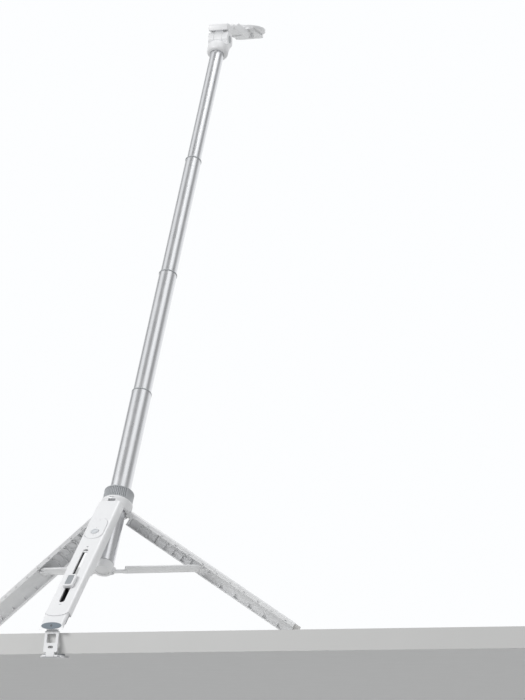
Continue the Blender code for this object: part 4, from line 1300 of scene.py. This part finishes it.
# ---- clamp -----------------------------------------------------------------------------------
@dataclass(frozen=True)
class Clamp:
    """Sliding clamp in the front leg: knob, slider, hook arm and plate."""

    knob_at: float = 164.6
    knob_half_x: float = 6.4
    knob_half_z: float = 11.2
    knob_height: float = 4.2
    face: float = 22.3
    hook_length: float = 34.0
    hook_half: float = 8.5
    hook_thickness: float = 3.0
    knuckle: float = 1.8
    pin: float = 1.05
    plate_depth: float = 21.0
    plate_half: float = 12.6
    bar_half: float = 15.6
    plate_thickness: float = 2.4

    def build(self) -> None:
        """Make every piece of the clamp."""
        refined("clamp_rack", DARK, "front_leg", 0.15)
        # The slider in the darker white and the dark strip on its front, seen through the slot, are
        # painted shade of the slot's depth.
        refined("clamp_slider", WHITE_INNER_SHADED, "clamp_slider")
        strip = on_face([(-4.6, 151.0), (4.6, 151.0), (4.6, 233.0), (-4.6, 233.0)], 14.9, 15.5)
        stem_room = on_face(rounded_box(2.3, 6.6, 0.5), 14.0, 17.0)
        strip.cut(stem_room.moved((0.0, 0.0, leg_z(self.knob_at) - leg_z(0.0))))
        show("slider_strip", strip, LAYOUT.front_leg(), DARK, "clamp_slider", edge=0.1)
        dress(("hook_pin", "plate_pin"), STEEL)
        self._knob()
        self._hook()
        self._plate()

    def _knob(self) -> None:
        """Pinch knob with a ribbed grey pad let into it."""
        outline = [(x, self.knob_at + z) for x, z in rounded_box(self.knob_half_x, self.knob_half_z, 3.2)]
        knob = on_face(outline, self.face, self.face + self.knob_height)
        top = leg_y(self.face + self.knob_height)
        knob.softened(1.2, (-99, top - 0.1, -999), (99, top + 0.1, 0), 5)
        pad = [(x, self.knob_at + z) for x, z in rounded_box(3.9, 8.7, 1.6)]
        stem = [(x, self.knob_at + z) for x, z in rounded_box(2.1, 6.3, 0.3, 3)]
        knob.cut(on_face(pad, self.face + self.knob_height - 1.2, 40.0),
                 on_face(stem, 20.0, self.face + 1.5))
        show("clamp_knob_finished", knob, LAYOUT.front_leg(), WHITE, "clamp_slider",
             ("clamp_knob",), edge=0.15)
        low = self.face + self.knob_height - 0.9
        high = self.face + self.knob_height + 0.1
        ridged: list[Point] = [(leg_y(low), leg_z(self.knob_at + 8.4)),
                               (leg_y(low), leg_z(self.knob_at - 8.4))]
        count = 12
        for k in range(count + 1):
            drop = self.knob_at - 8.4 + 16.8 * k / count
            ridged.append((leg_y(high - 0.42), leg_z(drop)))
            if k < count:
                ridged.append((leg_y(high), leg_z(drop + 0.45)))
                ridged.append((leg_y(high), leg_z(drop + 0.95)))
        plate = Solid.prism(ridged, -3.6, 3.6, Along.X)
        show("knob_pad_finished", plate, LAYOUT.front_leg(), PAD_GREY, "clamp_slider",
             ("knob_pad",), edge=0.12)

    def _hook(self) -> None:
        """Arm of two rails, a web and an eye at each end."""
        half = self.hook_thickness / 2.0
        low = -self.hook_length + 4.5
        plan = [(self.hook_half, -4.6), (-self.hook_half, -4.6), (-self.hook_half, low + 1.5),
                (-self.hook_half + 1.5, low), (self.hook_half - 1.5, low), (self.hook_half, low + 1.5)]
        arm = Solid.prism(plan, -half, half, Along.Y)
        window = [(x, z - 13.0) for x, z in rounded_box(5.4, 5.4, 1.2)]
        oval = [(x, z - 23.4) for x, z in rounded_box(3.2, 1.5, 1.45)]
        arm.cut(Solid.prism(window, -4.0, 4.0, Along.Y), Solid.prism(oval, -4.0, 4.0, Along.Y))
        eye = arc((0.0, 0.0), self.knuckle, 0.0, 180.0, 20) + [(-half, -6.0), (half, -6.0)]
        foot = arc((0.0, -self.hook_length), self.knuckle, 180.0, 360.0, 20)
        foot += [(half, -self.hook_length + 6.0), (-half, -self.hook_length + 6.0)]
        arm.join(Solid.prism(eye, -6.7, 6.7, Along.X), Solid.prism(foot, -5.0, 5.0, Along.X))
        arm.cut(Solid.rod(self.pin, 8.0), Solid.rod(self.pin, 8.0, (0.0, -self.hook_length)))
        show("hook_arm_finished", arm, LAYOUT.hook(), WHITE, "hook_arm", ("hook_arm",), edge=0.35,
             segments=3)

    def _plate(self) -> None:
        """Gripping plate with its cross bar, lugs and pad."""
        half, depth = self.plate_thickness / 2.0, self.plate_depth
        plan = [(-self.plate_half, 2.6), (self.plate_half, 2.6), (self.plate_half, depth - 5.0),
                (self.bar_half, depth - 4.0), (self.bar_half, depth), (-self.bar_half, depth),
                (-self.bar_half, depth - 4.0), (-self.plate_half, depth - 5.0)]
        plate = Solid.prism(plan, -half, half)
        for x0, x1 in ((5.4, 9.6), (-9.6, -5.4)):
            lug = arc((0.0, 0.0), self.knuckle, 90.0, 270.0, 16) + [(4.0, -half), (4.0, half)]
            plate.join(Solid.prism(lug, x0, x1, Along.X))
        recess = [(x, y + 10.0) for x, y in rounded_box(self.plate_half - 3.0, 4.6, 1.5)]
        plate.cut(Solid.rod(self.pin, 12.0), Solid.prism(recess, -half - 1.0, -half + 0.6))
        show("hook_plate_finished", plate, LAYOUT.level("plate_fold"), WHITE, "hook_plate",
             ("hook_plate",), edge=0.4, segments=3)
        refined("clamp_pad", PAD_GREY, "hook_plate", 0.3)


# ---- head ------------------------------------------------------------------------------------
@dataclass(frozen=True)
class Head:
    """Fork on the pole, hinged arm, and the tilting disc that holds the phone."""

    hinge_height: float = 26.4
    cup_radius: float = 14.5
    cup_top: float = -12.1
    barrel: float = 11.35
    fork_in: float = 5.95
    fork_out: float = 13.6
    tongue_half: float = 5.65
    arm_length: float = 105.0
    arm_rise: float = 29.5
    arm_half: float = 13.5
    arm_thickness: float = 6.0
    arm_belly: float = 20.7
    end_half: float = 7.7
    tube_radius: float = 9.2
    pin: float = 2.3
    disc_radius: float = 29.0
    disc_low: float = 6.2
    disc_high: float = 10.5

    def build(self) -> None:
        """Make the head from the pole up."""
        self._fork()
        self._arm()
        self._carrier()
        self._disc()

    def _fork(self) -> None:
        """Cup with two round ears, and a cap on each end of the pin."""
        foot = -self.hinge_height
        profile = [(0.0, foot), (0.0, self.cup_top)]
        profile += arc((self.cup_radius - 2.2, self.cup_top - 2.2), 2.2, 90.0, 0.0, 8)
        profile += [(self.cup_radius, foot + 3.6)]
        profile += [(self.cup_radius - 0.5, foot + 1.6), (self.cup_radius - 1.6, foot + 0.4),
                    (self.cup_radius - 2.4, foot)]
        fork = Solid.turned(profile, 96)
        ear = [(-6.0, self.cup_top - 2.0), (6.0, self.cup_top - 2.0)]
        ear += arc((0.0, 0.0), self.barrel, -52.0, 232.0, 52)
        for side in (-1.0, 1.0):
            low, high = sorted((side * self.fork_in, side * self.fork_out))
            fork.join(Solid.prism(ear, low, high, Along.X))
        bore = self.tube_radius + 0.3
        fork.cut(Solid.turned([(0.0, foot - 1.0), (0.0, foot + 9.3), (bore, foot + 9.3),
                               (bore, foot - 1.0)]), Solid.rod(self.pin, 15.0))
        for side in (-1.0, 1.0):
            low, high = sorted((side * (self.fork_out - 0.9), side * (self.fork_out + 1.0)))
            fork.cut(Solid.prism(arc((0.0, 0.0), 5.4, 0.0, 352.5, 47), low, high, Along.X))
        show("head_fork_finished", fork, LAYOUT.head(), WHITE, "head", ("head_fork",), edge=0.6,
             segments=4)
        dress(("head_pin",), STEEL)
        for label, side in (("right", 1.0), ("left", -1.0)):
            low, high = sorted((side * (self.fork_out - 0.75), side * (self.fork_out - 0.2)))
            cap = Solid.prism(arc((0.0, 0.0), 5.1, 0.0, 352.5, 47), low, high, Along.X)
            show(f"fork_cap_{label}", cap, LAYOUT.head(), RING_GREY, "head", edge=0.15)

    def _arm(self) -> None:
        """Arm that rises from the hinge and runs out flat to the disc."""
        tongue = arc((0.0, 0.0), self.barrel, 120.0, 390.0, 48) + [(10.0, 12.6), (-6.0, 12.6)]
        arm = Solid.prism(tongue, -self.tongue_half, self.tongue_half, Along.X)
        half, rise = self.arm_thickness / 2.0, self.arm_rise
        far = self.arm_length - 7.5
        belly = [(-10.0, 12.0), (0.0, 12.0), (6.0, 13.4), (12.0, 16.0)]
        belly += arc((26.0, self.arm_belly + 9.0), 9.0, 232.0, 270.0, 8)
        belly += arc((64.0, self.arm_belly + 9.0), 9.0, 270.0, 318.0, 8)
        belly += [(75.4, rise - half), (far, rise - half), (far, rise + half)]
        belly += [(40.0, rise + half)] + arc((24.0, 38.0), 12.0, 290.0, 250.0, 8)
        belly += [(8.0, 21.5), (-7.0, 21.5), (-9.0, 20.6), (-10.0, 18.6)]
        bar = Solid.prism(belly, -self.arm_half, self.arm_half, Along.X)
        bar.softened(2.2, (-99, -20, 0), (99, far + 1, 99), 5)
        plan = rounded_box(self.arm_half, 60.0, 9.0, 12)
        shape = Solid.prism([(x, y + far - 60.0) for x, y in plan], 0.0, 60.0)
        bar.keep(shape)
        end = [(self.arm_length - 12.0, rise + half), (self.arm_length - 12.0, rise - half)]
        end += arc((self.arm_length, rise), half, -90.0, 90.0, 24)
        arm.join(bar, Solid.prism(end, -self.end_half, self.end_half, Along.X))
        arm.cut(Solid.rod(self.pin, 9.0), Solid.rod(1.5, 9.0, (self.arm_length, rise)))
        hollow = rounded_box(self.arm_half - 2.6, 19.0, 6.0)
        arm.cut(Solid.prism([(x, y + 46.0) for x, y in hollow], self.arm_belly - 2.0,
                            self.arm_belly + 0.9))
        show("arm_finished", arm, LAYOUT.level("arm_hinge"), WHITE, "arm", ("arm",), edge=0.4,
             segments=3)
        dress(("disc_hinge_pin",), STEEL)

    def _carrier(self) -> None:
        """Plate under the disc, with its two lugs."""
        plate = Solid.prism(rounded_box(19.5, 28.5, 6.0, 12), 3.4, 5.9)
        lug = [(3.0, 4.0), (-3.0, 4.0)] + arc((0.0, 0.0), 3.0, 180.0, 360.0, 24)
        for low, high in ((8.0, 12.5), (-12.5, -8.0)):
            plate.join(Solid.prism(lug, low, high, Along.X))
        plate.cut(Solid.rod(1.5, 14.0),
                  Solid.turned([(0.0, 2.0), (0.0, 7.0), (5.3, 7.0), (5.3, 2.0)]))
        show("disc_carrier_finished", plate, LAYOUT.level("disc_tilt"), WHITE, "disc_tilt",
             ("disc_carrier",), edge=0.5, segments=3)

    def _disc(self) -> None:
        """Round disc with a grey ring in two halves."""
        low, high, radius = self.disc_low, self.disc_high, self.disc_radius
        profile = [(0.0, low), (0.0, high), (radius - 0.9, high)]
        profile += arc((radius - 0.8, high - 0.8), 0.8, 80.0, 0.0, 6)
        profile += arc((radius - 0.8, low + 0.8), 0.8, 0.0, -90.0, 6)
        disc = Solid.turned(profile, 160)
        disc.join(Solid.turned([(0.0, 3.6), (0.0, low + 1.0), (5.0, low + 1.0), (5.0, 3.6)], 48))
        disc.cut(*[self._half_ring(22.1, 28.3, 7.4, high + 1.0, 2.0, turn) for turn in (0.0, 180.0)])
        matrix = LAYOUT.level("disc_tilt")
        show("phone_disc_finished", disc, matrix, WHITE, "disc_spin", ("phone_disc",), edge=0.15)
        for label, turn in (("far", 0.0), ("near", 180.0)):
            pad = self._half_ring(22.4, 28.0, high - 1.0, high, 2.3, turn)
            show(f"disc_pad_{label}_finished", pad, matrix, PAD_GREY, "disc_spin",
                 (f"disc_pad_{label}",), edge=0.2)
            dress((f"magnet_{label}",), STEEL)

    @staticmethod
    def _half_ring(inner: float, outer: float, low: float, high: float, reach: float,
                   turn: float) -> Solid:
        """C-shaped half of the ring, kept clear of the band across the disc."""
        start = math.degrees(math.asin(reach / outer))
        inner_start = math.degrees(math.asin(reach / inner))
        outline = arc((0.0, 0.0), outer, start, 180.0 - start, 60)
        outline += arc((0.0, 0.0), inner, 180.0 - inner_start, inner_start, 60)
        return Solid.prism(outline, low, high).moved(about_z=turn)


# ---- stage -----------------------------------------------------------------------------------
@dataclass(frozen=True)
class Studio:
    """Pale table, soft lights and the camera."""

    table_edge: float = -3.5
    table_low: float = 0.3
    table_high: float = 23.9
    table_half: float = 1500.0
    azimuth: float = 18.0
    elevation: float = -7.9
    distance: float = 3.6
    front_light: float = 0.34
    back_light: float = 1.0
    panels: tuple = (((0.52, -0.20, 0.83), 0.8), ((-0.66, -0.07, 0.75), 0.6))
    lens: float = 154.3

    def build(self, aim: Vector) -> None:
        """Set the stage.

        Args:
            aim: the point that the camera looks at, in metres.
        """
        outline = [(-self.table_half, self.table_edge), (self.table_half, self.table_edge),
                   (self.table_half, 2.0 * self.table_half), (-self.table_half, 2.0 * self.table_half)]
        slab = Solid.prism(outline, self.table_low, self.table_high)
        bmesh.ops.transform(slab.bm, matrix=Matrix.Scale(MM, 4), verts=slab.bm.verts)
        table = loose_object("table", slab.bm)
        table.data.materials.append(TABLE.material())
        self._lights(aim)
        self._camera(aim)
        world = bpy.data.worlds.new("soft_white")
        world.use_nodes = True
        self._sky(world)
        bpy.context.scene.world = world
        bpy.context.scene.view_settings.view_transform = "Standard"

    def _sky(self, world: bpy.types.World) -> None:
        """Light the surroundings: white behind the object and dimmer in front of it."""
        nodes, links = world.node_tree.nodes, world.node_tree.links
        coords = nodes.new("ShaderNodeTexCoord")
        split = nodes.new("ShaderNodeSeparateXYZ")
        links.new(coords.outputs["Generated"], split.inputs[0])
        fade = nodes.new("ShaderNodeMapRange")
        fade.interpolation_type = "SMOOTHSTEP"
        fade.inputs["From Min"].default_value = 0.35
        fade.inputs["From Max"].default_value = 0.8
        fade.inputs["To Min"].default_value = self.front_light
        fade.inputs["To Max"].default_value = self.back_light
        links.new(split.outputs[1], fade.inputs["Value"])
        total = fade.outputs["Result"]
        for toward, strength in self.panels:
            facing = nodes.new("ShaderNodeVectorMath")
            facing.operation = "DOT_PRODUCT"
            facing.inputs[1].default_value = toward
            links.new(coords.outputs["Generated"], facing.inputs[0])
            patch = nodes.new("ShaderNodeMapRange")
            patch.interpolation_type = "SMOOTHSTEP"
            patch.inputs["From Min"].default_value = 0.90
            patch.inputs["From Max"].default_value = 0.98
            patch.inputs["To Max"].default_value = strength
            links.new(facing.outputs["Value"], patch.inputs["Value"])
            both = nodes.new("ShaderNodeMath")
            links.new(total, both.inputs[0])
            links.new(patch.outputs["Result"], both.inputs[1])
            total = both.outputs[0]
        background = nodes["Background"]
        background.inputs["Color"].default_value = (0.98, 0.99, 1.0, 1.0)
        links.new(total, background.inputs["Strength"])

    def _lights(self, aim: Vector) -> None:
        """Soft lamps round the object."""
        for name, place, width, height, power in (("key", (-1.7, -2.0, 1.5), 0.9, 0.9, 44.0),
                                                  ("strip", (-0.75, -2.3, 0.55), 0.28, 2.6, 8.0),
                                                  ("fill", (2.4, -0.8, 0.2), 1.2, 1.4, 9.0),
                                                  ("top", (0.2, 0.6, 2.6), 1.2, 1.2, 20.0)):
            data = bpy.data.lights.new(name, "AREA")
            data.shape = "RECTANGLE"
            data.size = width
            data.size_y = height
            data.energy = power
            lamp = bpy.data.objects.new(name, data)
            bpy.context.scene.collection.objects.link(lamp)
            lamp.location = aim + Vector(place)
            lamp.rotation_euler = (-Vector(place)).to_track_quat("-Z", "Y").to_euler()

    def _camera(self, aim: Vector) -> None:
        """Camera below table level, looking slightly up."""
        data = bpy.data.cameras.new("camera")
        data.lens = self.lens
        data.sensor_width = 36.0
        data.clip_end = 50.0
        camera = bpy.data.objects.new("camera", data)
        bpy.context.scene.collection.objects.link(camera)
        azimuth, elevation = math.radians(self.azimuth), math.radians(self.elevation)
        back = Vector((math.cos(elevation) * math.sin(azimuth),
                       -math.cos(elevation) * math.cos(azimuth), math.sin(elevation)))
        camera.location = aim + back * self.distance
        camera.rotation_euler = (-back).to_track_quat("-Z", "Y").to_euler()
        bpy.context.scene.camera = camera


def main() -> None:
    """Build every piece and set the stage."""
    logging.basicConfig(level=logging.INFO, format="%(message)s")
    Hub().build()
    LockRing().build()
    Pole().build()
    Spreader().build()
    for side in Side:
        RearLeg().build(side)
        Strut().build(side)
    FrontLeg().build()
    Remote().build()
    Clamp().build()
    Head().build()
    pole_foot = LAYOUT.place("lock_ring_turn")
    Studio().build(pole_foot + Vector(AIM_FROM_POLE))


if __name__ == "__main__":
    main()
